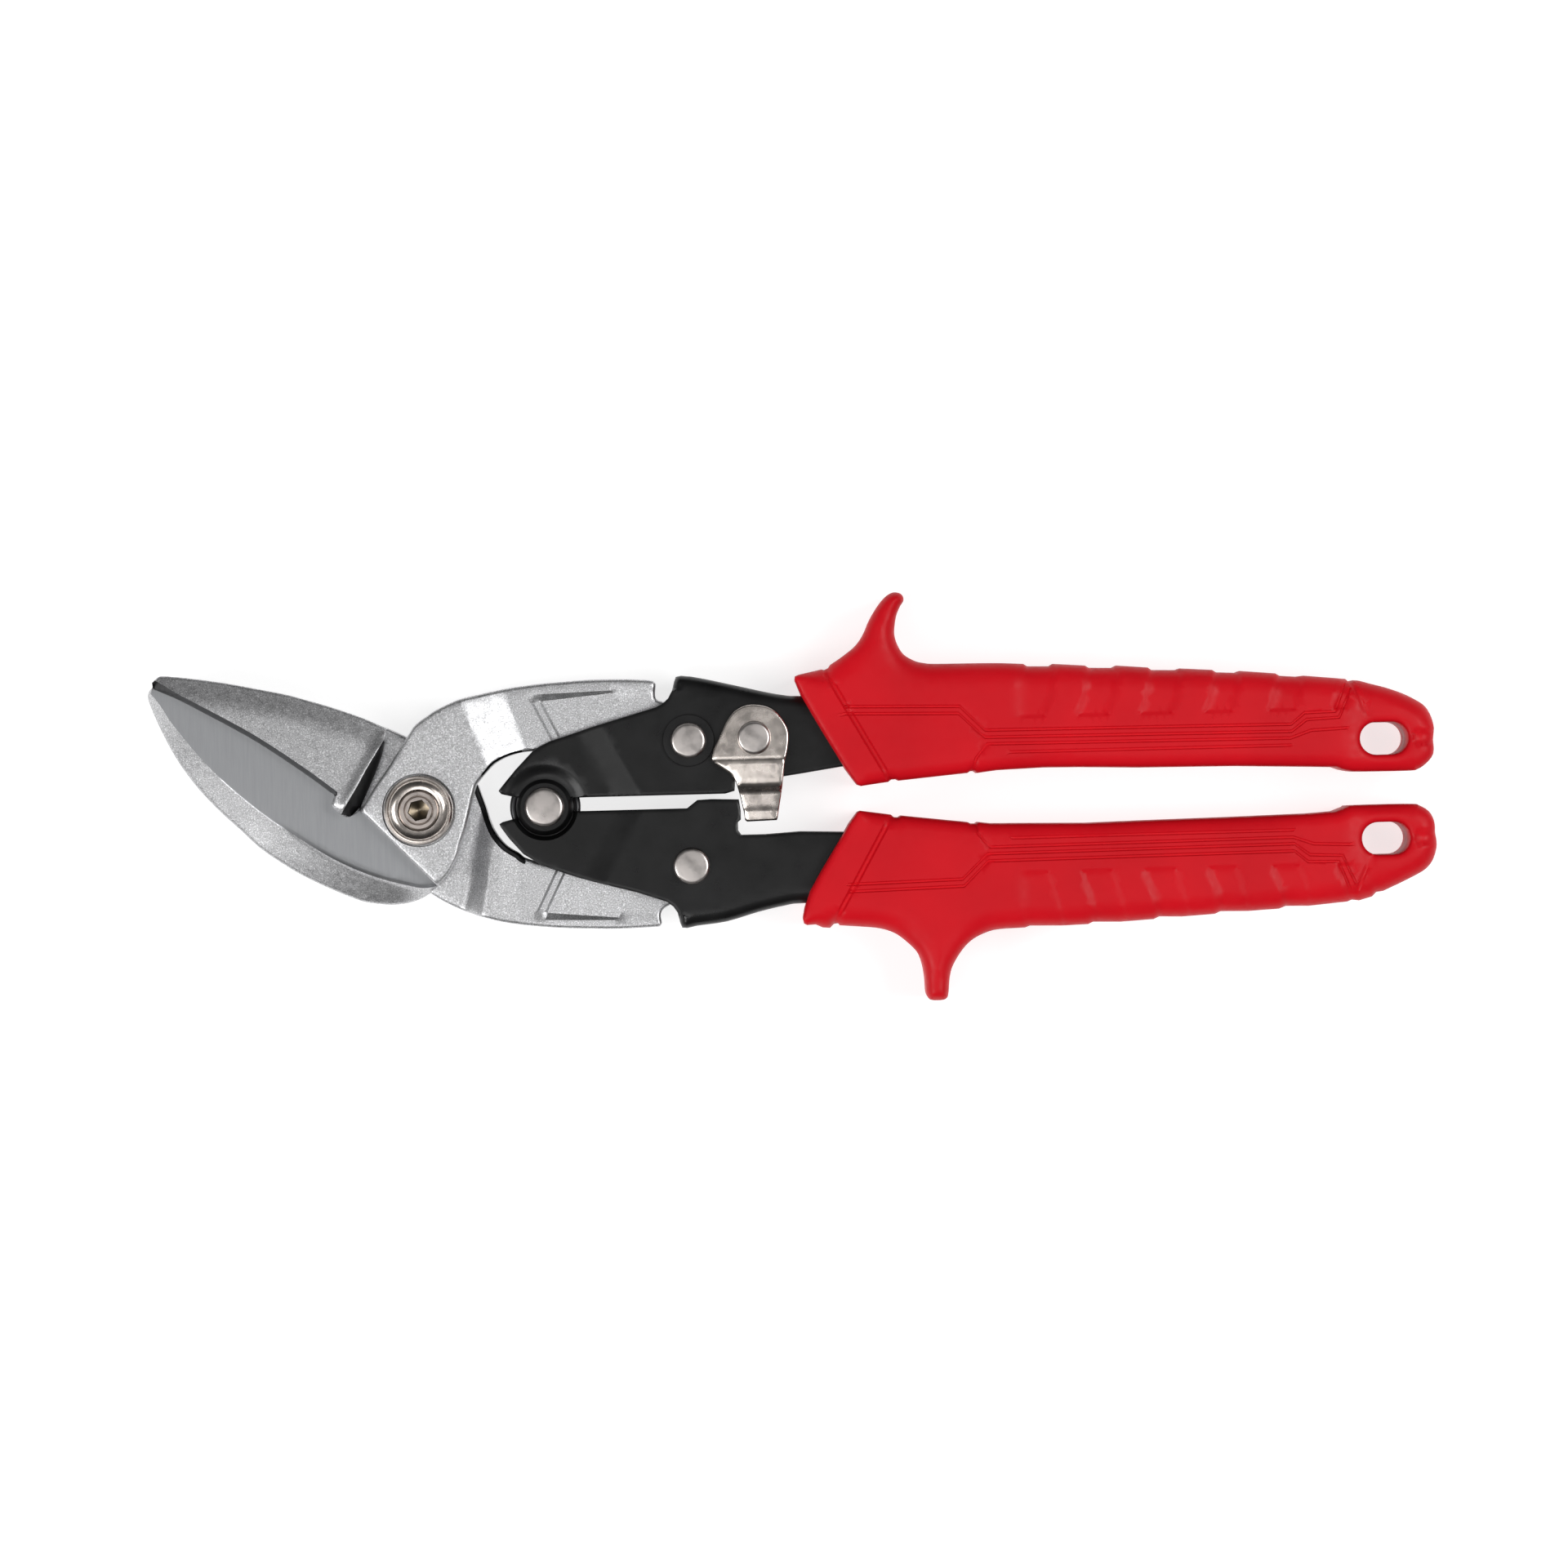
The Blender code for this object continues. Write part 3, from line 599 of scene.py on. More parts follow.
FORGED = forged_steel()
GROUND = ground_steel()
# Painted shade and painted shadow: near-black steel standing in for the shade on the jaw's bevel
# and heel wall and on the tails' inner bows.
PAINTED_SHADE = painted_shade_steel("painted_shade_steel", (0.05, 0.05, 0.051))
PAINTED_SHADOW = painted_shade_steel("painted_shadow_edge", (0.012, 0.012, 0.0125))
NICKEL = nickel("bright_nickel", (0.66, 0.60, 0.555), 0.25, 0.05)
BOLT_STEEL = nickel("bolt_steel", (0.46, 0.41, 0.38), 0.3, 0.06)
RIVET_STEEL = nickel("rivet_steel", (0.50, 0.465, 0.445), 0.34, 0.08)
# Painted shade: dark brown for the floor of the bolt's hex socket, where shade falls in the recess.
SOCKET_SHADE = nickel("painted_socket_shade", (0.2, 0.165, 0.12), 0.34, 0.05)
PLAIN_STEEL = nickel("plain_steel", (0.48, 0.47, 0.46), 0.40, 0.08)
BLACK = coated_sheet()
RED = red_plastic()
WIRE = dark_wire()


def fit(obj, body, node, slot, *materials):
    """Dress a piece, let it ride on its body and stand for its CAD node."""
    for material in materials:
        obj.data.materials.append(material)
    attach(obj, body)
    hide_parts(node)


# Blades.

LOWER_JAW_OUTSIDE = smooth([
    (-53.1, 24.6), (-53.2, 23.3), (-52, 19.9), (-50.2, 15.8), (-48.1, 11.7), (-45.7, 8),
    (-43.1, 4.6), (-39.3, 0.5), (-35.6, -3), (-31.9, -6.6), (-28.1, -9.4), (-24.4, -11.8),
    (-19.9, -14.2), (-15.8, -16.1), (-12.1, -17.6), (-9.1, -18.2), (-5.7, -18.5),
    (-2.4, -18.1), (0.1, -17.2), (2.4, -15.7), (3.2, -14.9)], 3)
CREST = smooth([
    (-52.4, 24.4), (-50.7, 22.2), (-48.1, 18.1), (-43.1, 11.7), (-37.8, 6.1), (-31.1, 0.3),
    (-24.4, -4.5), (-16.9, -9.3), (-9.5, -12.7), (-2.4, -14.8), (0.6, -15.3), (3.1, -15)], 6)
LOWER_JAW_INSIDE = [
    (2, -10), (-4, -6), (-9, -1), (-12.5, 1), (-17.5, 6.5), (-22, 10.4), (-34, 18.4),
    (-46, 24.9), (-50.5, 26.2), (-52, 25.6)]
UPPER_JAW_OUTSIDE = smooth([
    (-51.8, 26.4), (-51.1, 27.05), (-50.3, 27.6), (-49, 27.6), (-46.1, 27.3), (-41.9, 26.7),
    (-37.1, 25.9), (-31.9, 24.8), (-25.9, 23.5), (-22.2, 22.4), (-17.7, 21), (-13.2, 19.4),
    (-9.5, 17.9), (-6.2, 16.3)], 3)
CUTTING_EDGE = smooth([
    (-16.5, 3.2), (-20.7, 6.5), (-25.9, 10.3), (-31.9, 14.4), (-37.1, 17.5), (-41.9, 20.2),
    (-46.8, 22.9), (-51.6, 25.1)], 4)
HEEL_BASE = [(-13.4, -0.9), (-11.7, 0.9), (-9.9, 4.6), (-8.5, 7.6), (-7.2, 10.8), (-6.5, 13.6)]
HEEL_WALL = [(-6.3, 15.2)] + HEEL_BASE[:0:-1]
HEEL_CREST = [
    (-15.5, -0.4), (-14, 2.2), (-12.1, 5.2), (-10.4, 8.2), (-8.4, 11.3), (-6.7, 13.9)]
HEEL_TOE = smooth([
    (-11.7, 0.9), (-12.1, 0.1), (-13, -0.6), (-14.4, -0.95), (-15.8, -0.1), (-17, 1.2),
    (-17, 2), (-16.5, 3.2)], 3)
PLATEAU_LEFT = [(-11.5, 0.2), (-8.7, 4.6), (-5.7, 8.7), (-3.5, 12.1), (-2.2, 14.1)]
PLATEAU_RIGHT = smooth([
    (11.3, 4.8), (10.6, 2.5), (10, 0.2), (9.2, -2.9), (8.6, -4.9), (7.9, -6.8), (7.3, -9.1),
    (6.3, -11.1), (5.1, -13), (3.2, -14.9)], 2)
UPPER_TAIL_OUTSIDE = smooth([
    (-1.6, 15), (-0.3, 16.8), (2.1, 18.5), (4, 19.7), (8.2, 21.5), (12.1, 22.4), (16, 23.2),
    (19.1, 23.7), (23.7, 24.2), (28, 24.5), (32.6, 24.75), (36.5, 24.8), (41.5, 24.7),
    (45.8, 24.4)], 3)
TAIL_STEP = smooth([
    (46.5, 24.2), (46.9, 23.6), (46.75, 22.2), (46.8, 21), (47.4, 20.4), (48.5, 20.1)], 3)
UPPER_TAIL_INSIDE = smooth([
    (44, 7.8), (34, 10), (26, 11.2), (22.5, 11.1), (19.8, 10.8), (17.1, 10), (14.8, 8.7),
    (12.9, 6.7)], 4)
LOWER_TAIL_OUTSIDE = smooth([
    (1.7, -16.5), (4, -18), (7.5, -19.8), (11.3, -21.1), (16, -22.4), (21, -23.2),
    (26.8, -23.8), (32.6, -24.1), (38.4, -24.3), (46.1, -24.1)], 3)
LOWER_TAIL_STEP = smooth([
    (46.6, -24), (46.9, -23.4), (46.7, -21.9), (47.3, -20.7), (48.8, -19.8)], 3)
LOWER_TAIL_INSIDE = smooth([
    (44, -7.8), (34, -10), (26, -11.3), (20.8, -10.1), (19.1, -8.9), (16.7, -7.3),
    (14.8, -4.9), (13.7, -2.5), (12.9, 0.2), (12.1, 2.5), (11.4, 4.6)], 4)
REAR_SHOULDER = [
    (9, 7), (5, 10.2), (1, 12.8), (-2.4, 14.5), (-5.7, 16.1), (-9.5, 17.6), (-16, 14),
    (-17.3, 7.1), (-14.3, 3.8)]
NECK = [
    (-6.4, 15.7), (-9.5, 17.3), (-17.7, 20.3), (-22.2, 21.5), (-24, 16), (-21.8, 11),
    (-17.3, 7.1), (-12.3, 1.4), (-10.3, 5), (-9, 8), (-7.5, 11.5), (-6.6, 14.9)]
FRONT_FOLD = ((3.5, 20.5), (13, 7.5))
REAR_FOLD = ((7.6, -20.5), (13, 5))
FOLD_WIDTH = 3.2
RAMP_START = ((13.6, 8), (8.2, 22))
RAMP_END = ((22.6, 8), (17, 23.4))
LINK_EYE = 7.2
EYE_SWEEP = (70, -115)
LINK_HOLE = 3.75
COUNTERBORE = 7.2
REAR_BOSS = 12.3
FRONT_RELIEF = 12.65
TAIL_SWEEP = -113
POCKET_DEPTH = 1.5
COUNTERBORE_DEPTH = 1.5
UPPER_BOW = 0.42
LOWER_BOW = 1.1
BOW_END = 20.5
JAW_DROP = 3.3
BEAD = 0.32
BEVEL_WIDTH = 1.05
BEVEL_FOOT = 3.1
HEEL_FOOT = 3.2
JAW_SWELL = 6.55


def pocket(p, side):
    """Depth of the shallow panel forged into each tail, shallower towards its end."""
    x, y = p[:, 0], side * p[:, 1]
    start = x + 0.5 * (y - 20.5)
    slanted = 0.45 * step(start, 22.4, 22.9) + 0.35 * step(start, 24.1, 24.6)
    width = np.clip(1.5 - 0.06 * (x - 22), 0.5, 1.5)
    long_wall = np.clip((22.1 + (x - 22) * 0.03 - y) / width, 0, 1)
    return POCKET_DEPTH * slanted * long_wall * np.clip((44 - x) / 18, 0.15, 1)


def pocket_creases(side):
    """Lines along the panel's slanted end and its long upper wall."""
    slanted = [[(22.4 + gap, 20.5 * side), (26.6 + gap, 12.1 * side)] for gap in (0, 0.5, 1.7, 2.2)]
    walls = [[(22, (22.1 - drop) * side), (39, (22.6 - end) * side)]
             for drop, end in ((0, 0), (1.5, 0.5))]
    return slanted + walls


def near_bow(points, bow, width):
    """Whether each point is on the inner edge of a tail beside the handles' noses, which is
    coloured near-black as painted shadow.
    """
    return (distance(points, bow) < width) & (points[:, 0] < BOW_END)


def front_forging():
    """Upper tail and front boss."""
    outline = (PLATEAU_LEFT + UPPER_TAIL_OUTSIDE + TAIL_STEP
               + arc(UPPER_LINK, LINK_EYE, *EYE_SWEEP, 30) + UPPER_TAIL_INSIDE + PLATEAU_RIGHT)

    def top(p):
        start = across(RAMP_START, p)
        end = across(RAMP_END, p)
        share = np.clip(start / (start - end + 1e-9), 0, 1)
        share = np.where(start > 0, 0, np.where(end < 0, 1, share))
        height = BOSS_TOP + (TAIL_HALF - BOSS_TOP) * share
        bore = from_centre(p, BLADE_PIVOT) < COUNTERBORE - 0.05
        return height - COUNTERBORE_DEPTH * bore - pocket(p, 1)

    def back(p):
        share = np.clip(across(FRONT_FOLD, p) / FOLD_WIDTH, 0, 1)
        return MEETING_GAP + (-TAIL_HALF - MEETING_GAP) * share

    creases = [FRONT_FOLD, offset(FRONT_FOLD, FOLD_WIDTH), RAMP_START, RAMP_END,
               ring(BLADE_PIVOT, COUNTERBORE), ring(BLADE_PIVOT, COUNTERBORE - 0.1),
               offset(UPPER_TAIL_INSIDE, -UPPER_BOW)] + pocket_creases(1)
    holes = [ring(BLADE_PIVOT, BOLT_BORE, 40), ring(UPPER_LINK, LINK_HOLE, 40)]
    # Painted shadow: the inner bow beside the handles' noses takes the near-black steel of slot 2.
    return relief("front_forging", outline, top, back, holes, creases, pitch=1.4, rim=0.75,
                  slots=lambda p: np.where(near_bow(p, UPPER_TAIL_INSIDE, UPPER_BOW), 2, 0))


def lower_jaw():
    """Lower jaw with its ground shear face and the sloping rim outside its crest."""
    outline = LOWER_JAW_OUTSIDE + LOWER_JAW_INSIDE

    def slope(p):
        outer = distance(p, LOWER_JAW_OUTSIDE)
        crest = distance(p, CREST)
        beyond = ~inside(p, CREST + LOWER_JAW_INSIDE)
        return np.where(beyond, crest / np.maximum(outer + crest, 1e-6), 0)

    def top(p):
        bead = BEAD * np.exp(-(distance(p, CREST) / BEAD) ** 2) * step(p[:, 0], -30, -16)
        return SHEAR_LEVEL - JAW_DROP * slope(p) + bead

    def under(p):
        radius = from_centre(p, BLADE_PIVOT)
        angle = np.degrees(np.arctan2(p[:, 1], p[:, 0]))
        clear = (radius < FRONT_RELIEF) | ((angle > TAIL_SWEEP) & (angle < 20))
        return np.where(clear, MEETING_GAP + 0.05, JAW_BACK)

    sweep = [[BLADE_PIVOT, (30 * math.cos(a), 30 * math.sin(a))]
             for a in np.radians((TAIL_SWEEP, TAIL_SWEEP - 0.8))]
    creases = [offset(CREST, gap) for gap in (-1.6, -0.8, -0.45, -0.2, 0, 0.2, 0.45, 0.8, 1.6, 3.2)]
    creases += [ring(BLADE_PIVOT, FRONT_RELIEF), ring(BLADE_PIVOT, FRONT_RELIEF + 0.15)] + sweep
    return relief("lower_jaw", outline, top, under, creases=creases, pitch=1.3, rim=0.45,
                  under_rim=1.2, widest=0.6, slots=lambda p: slope(p) == 0)


def front_blade():
    blade = joined("front_blade_forging", [front_forging(), lower_jaw()])
    fit(blade, "front_blade", "front_blade", "forged_steel", FORGED, GROUND, PAINTED_SHADOW)


def between(first, second, share):
    """The line at a share of the way from one line to another with as many points."""
    return list(np.array(first) + share * (np.array(second) - np.array(first)))


def share_of_way(p, first, second):
    """How far each point lies from one line to the other, 1 beyond the second."""
    near = distance(p, first)
    share = near / np.maximum(near + distance(p, second), 1e-6)
    covered = inside(p, list(first) + list(second)[::-1]) | (near < 0.02)
    return np.where(covered, share, 1)


def upper_jaw():
    """Upper jaw with a steep cutting bevel, a swelling back and a round-topped heel."""
    toe = HEEL_TOE[3:]
    outline = UPPER_JAW_OUTSIDE + HEEL_WALL + HEEL_TOE[1:] + CUTTING_EDGE[1:]
    edge = CUTTING_EDGE[:-4]
    bevel_top = offset(edge, -BEVEL_WIDTH) + [(-51.9, 27.3)]
    edge = edge + [CUTTING_EDGE[-1]]

    def top(p):
        swell = (JAW_SWELL - 0.1 * distance(p, edge)
                 - 1.5 * (1 - step(distance(p, UPPER_JAW_OUTSIDE), -1.5, 5.5)))
        swell += 0.8 * np.exp(-distance(p, HEEL_CREST) ** 2) * step(distance(p, toe), 0, 2.0)
        bevel = share_of_way(p, edge, bevel_top)
        heel = share_of_way(p, HEEL_BASE, HEEL_CREST)
        height = BEVEL_FOOT + (swell - BEVEL_FOOT) * bevel
        return HEEL_FOOT + (height - HEEL_FOOT) * np.sqrt(1 - (1 - heel) ** 2)

    def rim(p):
        return np.where(distance(p, toe) < 1.2, 1.0, 0.35)

    # Painted shade: the cutting bevel and the heel wall take the near-black steel of slot 2.
    def slots(p):
        bevel = share_of_way(p, edge, bevel_top) < 1
        heel = share_of_way(p, HEEL_BASE, HEEL_CREST) < 0.9
        return np.where(bevel | heel, 2, 0)

    creases = [bevel_top] + [smooth(between(HEEL_BASE, HEEL_CREST, share), 4)
                             for share in (0, 0.12, 0.3, 0.6, 0.9, 1.0)]
    creases += [offset(HEEL_CREST, gap) for gap in (0.45, 0.9, 1.6)]
    return relief("upper_jaw", outline, top, UPPER_JAW_LEVEL, creases=creases, pitch=1.0,
                  spacing=0.5, rim=rim, under_rim=0.02, widest=1.0, slots=slots)


def rear_forging():
    """Lower tail and rear boss, whose face lies under the front boss."""
    outline = (arc(BLADE_PIVOT, REAR_BOSS, 174, 264, 40) + LOWER_TAIL_OUTSIDE + LOWER_TAIL_STEP
               + mirrored(arc(UPPER_LINK, LINK_EYE, *EYE_SWEEP, 30)) + LOWER_TAIL_INSIDE
               + REAR_SHOULDER)

    def top(p):
        share = step(-across(REAR_FOLD, p), -0.3, 1.5 * FOLD_WIDTH)
        lift = 0.8 * np.clip((19.6 - p[:, 0]) / 6.5, 0, 1)
        return -MEETING_GAP + (TAIL_HALF + lift + MEETING_GAP) * share - pocket(p, -1) * share

    def back(p):
        return -np.interp(p[:, 0], [10, 20], [-BOSS_BACK, TAIL_HALF])

    creases = [offset(REAR_FOLD, -gap * FOLD_WIDTH) for gap in (0.0, 0.3, 0.6, 0.9, 1.2, 1.5)]
    creases += [[(13.1, -30), (13.1, 5)], [(19.6, -30), (19.6, 0)]]
    creases.append(offset(LOWER_TAIL_INSIDE, LOWER_BOW))
    creases += pocket_creases(-1)
    holes = [ring(BLADE_PIVOT, 4.6, 40), ring(LOWER_LINK, LINK_HOLE, 40)]
    # Painted shadow: the inner bow takes the near-black steel of slot 1.
    return relief("rear_forging", outline, top, back, holes, creases, pitch=1.4, rim=0.6,
                  slots=lambda p: near_bow(p, LOWER_TAIL_INSIDE, LOWER_BOW))


def rear_blade():
    neck = relief("neck", NECK, 2.95, -4.5, pitch=2.5, rim=0.05, under_rim=0.8, widest=0.6)
    blade = joined("rear_blade_forging", [rear_forging(), neck, upper_jaw()])
    fit(blade, "rear_blade", "rear_blade", "forged_steel", FORGED, PAINTED_SHADOW, PAINTED_SHADE)


# Main pivot.

BOLT_RADIUS = 3.95
BOLT_BORE = 4.15
SOCKET = 2.2
SOCKET_TURN = 12


def hexagon(radius):
    angles = [math.radians(SOCKET_TURN + 60 * k) for k in range(6)]
    return [(radius * math.cos(a), radius * math.sin(a)) for a in angles]


def pivot_bolt():
    """The bolt's end with its hexagon socket, its shank and its low head behind; the socket's floor
    is coloured dark brown as painted shade.
    """
    socket = hexagon(SOCKET)

    def top(p):
        radius = from_centre(p, BLADE_PIVOT)
        height = 7.6 - 0.25 * np.clip((radius - 3.6) / 0.35, 0, 1)
        height = height - 0.18 * dip(radius - 2.75, 0.4)
        return np.where(inside(p, hexagon(SOCKET - 0.07)), 4.6 + 0.5 * radius, height)

    inner = hexagon(SOCKET - 0.1)
    creases = [socket + socket[:1], inner + inner[:1]]
    creases += [ring(BLADE_PIVOT, radius) for radius in (3.6, 2.75, 2.55, 2.95)]
    end = relief("bolt_end", ring(BLADE_PIVOT, BOLT_RADIUS), top, -6.0, creases=creases, pitch=0.5,
                 spacing=0.25, rim=0.12, under_rim=0.05, slots=lambda p: inside(p, socket))
    head = turned("bolt_head", BLADE_PIVOT, [
        (0, -6.65), (6.55, -6.65), (6.85, -6.95), (6.85, -8.5), (6.7, -8.95), (6.2, -9.35),
        (5.6, -9.5), (0, -9.5)])
    bolt = joined("pivot_bolt_body", [end, head])
    fit(bolt, "front_blade", "pivot_bolt", "plated_steel", BOLT_STEEL, SOCKET_SHADE)


def pivot_nut():
    """Round nut: a dished face inside a groove and a rounded outer lip."""
    profile = [
        (4.02, 7.15), (4.12, 7.3), (4.6, 7.32), (5.1, 7.48), (5.5, 7.8), (5.66, 7.9), (5.7, 7.3),
        (5.92, 7.3), (5.97, 8.1), (6.08, 8.26), (6.3, 8.22), (6.62, 7.9), (6.78, 7.5), (6.8, 7.2),
        (6.8, 5.8), (4.02, 5.8)]
    nut = turned("pivot_nut_ring", BLADE_PIVOT, profile, closed=True, sides=128)
    fit(nut, "front_blade", "pivot_nut", "plated_steel", NICKEL)


def pivot_washer():
    washer = soft_ring("pivot_washer_disc", BLADE_PIVOT, BOLT_BORE, 7.4, -6.6, -6.02)
    fit(washer, "front_blade", "pivot_washer", "plated_steel", NICKEL)


# Handles.

UPPER_NOSE = [
    (50.6, 23.9), (50.2, 22.2), (49.4, 20.7), (48.4, 19.8), (46.9, 19), (39.6, 16.95),
    (34.1, 15.4), (28.7, 13.7), (26, 12.9), (23.7, 11.8), (22.5, 11), (19.1, 7.5), (16.1, 4),
    (15.65, 3.4), (16.2, 2.75), (18.7, 2.1)]
UPPER_INSIDE = [
    (32.8, 1.7), (60.1, 1.7), (61.9, 2.2), (62.1, 4.6), (71.7, 4.8), (74.7, 5.2), (83, 6.4),
    (98, 7.4)]
UPPER_SPINE = smooth([
    (98, 20.2), (90, 20.3), (75.4, 20.5), (71.9, 20.8), (68.4, 21.5), (64.3, 22.5),
    (57.3, 24.2), (53.9, 24.9)], 3) + [(52, 25.1), (51, 24.9)]
LOWER_NOSE = [
    (50.6, -23.4), (50.2, -21.4), (49.4, -20.2), (48.1, -19.2), (42.3, -17.2), (34.5, -15.1),
    (30.7, -14), (26.8, -12.6), (23.7, -11.4), (20.2, -9.1), (17.5, -6), (15.9, -3.7),
    (15.65, -3.1), (16.3, -2.7), (18.7, -2.1)]
LOWER_INSIDE = [
    (33, -1), (52.5, -1), (54.6, 0.6), (57.3, 0.7), (62.7, 0.5), (63, -1.7), (63, -3.5),
    (62.4, -4), (62.4, -5.6), (63, -6.5), (67.7, -6.5), (74.7, -6.1), (83, -6.4), (98, -7.4)]
LOWER_SPINE = smooth([
    (98, -20), (90, -20.2), (75, -20.2), (71.2, -20.6), (66, -21.7), (59.8, -23.4),
    (53.9, -24.1)], 3) + [(52, -24.5), (51, -24.4)]
BEND = 2.3
WALL_HOLE = 2.6
JOGGLE_WIDTH = 4.8


def handle_wall(name, outline, spine, side, drop, thickness, rings):
    """One wall of a folded handle, with its outer edge bent over to meet the spine."""
    joggle = ((43.4, 2 * side), (36.5, 15 * side))

    def level(p):
        share = np.clip(1 + side * -across(joggle, p) / JOGGLE_WIDTH, 0, 1)
        return NOSE_LEVEL + (CHANNEL_LEVEL - NOSE_LEVEL) * share ** 1.3 - value_at(drop, p)

    def bent(p):
        return distance(p, spine)

    def under(p):
        return level(p) - fall(bent(p), BEND) * 0.9

    def top(p):
        return level(p) + value_at(thickness, p)

    def rim(p):
        return np.where(bent(p) < 0.05 + BEND, BEND, 0.35)

    creases = [offset(joggle, side * share * JOGGLE_WIDTH) for share in (0, 0.25, 0.5, 0.75, 1)]
    creases += rings
    link = (UPPER_LINK[0], side * UPPER_LINK[1])
    holes = [ring(centre, WALL_HOLE, 32) for centre in (HANDLE_PIVOT, link)]
    return relief(name, outline, top, under, holes, creases, pitch=1.5, rim=rim, under_rim=0.05,
                  widest=BEND)


def spine_strip(name, spine, side):
    """The folded outer web of a handle, between the bends."""
    depth = CHANNEL_LEVEL + SHEET - BEND
    strip = spine + offset(spine, SHEET * side)[::-1]
    return relief(name, strip, depth, -depth, pitch=3, rim=0.02, under_rim=0.02, widest=0.3)


def handle(node, wall, spine, side):
    name = node + "_channel"
    piece = joined(name, [wall, reflected(wall), spine_strip(name + "_spine", spine, side)])
    fit(piece, node, node, "coated_sheet", BLACK)


def upper_handle():
    collar = arc(HANDLE_PIVOT, 5.6, 158, 377, 50)

    def thickness(p):
        radius = from_centre(p, HANDLE_PIVOT)
        return SHEET - 0.85 * step(radius, 4.7, 5.5) * (1 - step(radius, 6.2, 8.7))

    rings = [ring(HANDLE_PIVOT, r) for r in (4.4, 4.7, 4.95, 5.2, 5.5, 6.2, 6.9, 7.5, 8.1, 8.7)]
    outline = UPPER_NOSE + collar + UPPER_INSIDE + UPPER_SPINE
    wall = handle_wall("upper_wall", outline, UPPER_SPINE, 1, 0, thickness, rings)
    return handle("upper_handle", wall, UPPER_SPINE, 1)


def lower_handle():
    collar = arc(HANDLE_PIVOT, 5.6, 202, -10, 50)

    def drop(p):
        return (NOSE_LEVEL - INNER_LOBE_LEVEL) * (1 - step(from_centre(p, HANDLE_PIVOT), 5.75, 6.6))

    rings = [ring(HANDLE_PIVOT, r) for r in (5.75, 6.05, 6.3, 6.6)]
    outline = LOWER_NOSE + collar + LOWER_INSIDE + LOWER_SPINE
    wall = handle_wall("lower_wall", outline, LOWER_SPINE, -1, drop, SHEET, rings)
    return handle("lower_handle", wall, LOWER_SPINE, -1)


# Rivets, bushes and spring.

def rivet_head(radius, base, rise):
    """Half a rivet's profile from its axis out: a flat top with a rounded edge."""
    steps = ((0, 1), (0.76, 0.99), (0.83, 0.965), (0.885, 0.91), (0.93, 0.81), (0.965, 0.64),
             (0.99, 0.38), (1, 0.1))
    head = [(share * radius, base + level * rise) for share, level in steps]
    return head + [(0.99 * radius, base)]


def rivet(name, node, body, centre, radius, front, back, rise=1.15, shank=2.4):
    profile = rivet_head(radius, front, rise)
    rear = [(r, -back - (h - front)) for r, h in profile[::-1]]
    obj = turned(name, centre, profile + [(shank, front), (shank, -back)] + rear)
    fit(obj, body, node, "rivet_steel", RIVET_STEEL)


def handle_spring():
    """Torsion spring of one and a half turns that follows one handle at each end."""
    coil = 6.2
    rise = 1.1625
    wire = 0.75
    steps = 108
    legs = smooth([
        (71.3, 18.2), (69.4, 14), (66.5, 10.4), (62, 7.8), (56, 5.4), (48, 4.1), (38, 4.5),
        (30, 5.6)], 6)
    route = [(x, y, rise) for x, y in legs]
    for k in range(steps + 1):
        angle = math.radians(90 + 5 * k)
        height = rise - 2 * rise * k / steps
        route.append((HANDLE_PIVOT[0] + coil * math.cos(angle), coil * math.sin(angle), height))
    route += [(x, -y, -rise) for x, y in legs[::-1]]
    spring = tube("torsion_spring", route, wire)
    spring.data.materials.append(WIRE)
    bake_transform(spring)
    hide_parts("handle_spring")


def plain_ring(name, body, node, centre, inner, outer, low, high, bevel=0.12):
    ring_piece = soft_ring(name, centre, inner, outer, low, high, bevel)
    fit(ring_piece, body, node, "plain_steel", PLAIN_STEEL)


def pivots():
    wall_top = CHANNEL_LEVEL + SHEET
    rivet("handle_rivet", "handle_pivot_rivet", "lower_handle", HANDLE_PIVOT, 3.9, 5.5, 5.5, 1.2)
    rivet("upper_link_pin", "upper_link_rivet", "upper_handle", UPPER_LINK, 3.5, 6.9, 6.2)
    rivet("lower_link_pin", "lower_link_rivet", "lower_handle", LOWER_LINK, 3.6, 6.2, 6.2)
    washer = soft_ring("upper_link_disc", UPPER_LINK, WALL_HOLE, 5.1, wall_top + 0.1,
                       wall_top + 0.7)
    fit(washer, "upper_handle", "upper_link_washer", "coated_sheet", BLACK)
    plain_ring("pivot_sleeve", "lower_handle", "handle_pivot_sleeve", HANDLE_PIVOT, WALL_HOLE, 5.0,
               -1.98, 1.98)
    for side, centre in (("upper", UPPER_LINK), ("lower", LOWER_LINK)):
        for piece, node, outer, low, high in (("_bush", "bush", 3.5, -3.5, 3.5),
                                              ("_front_spacer", "front_shim", 5.6, 3.62, 4.38),
                                              ("_back_spacer", "back_shim", 5.6, -4.38, -3.62)):
            plain_ring(side + piece, side + "_handle", f"{side}_link_{node}", centre, WALL_HOLE,
                       outer, low, high)


# Latch.

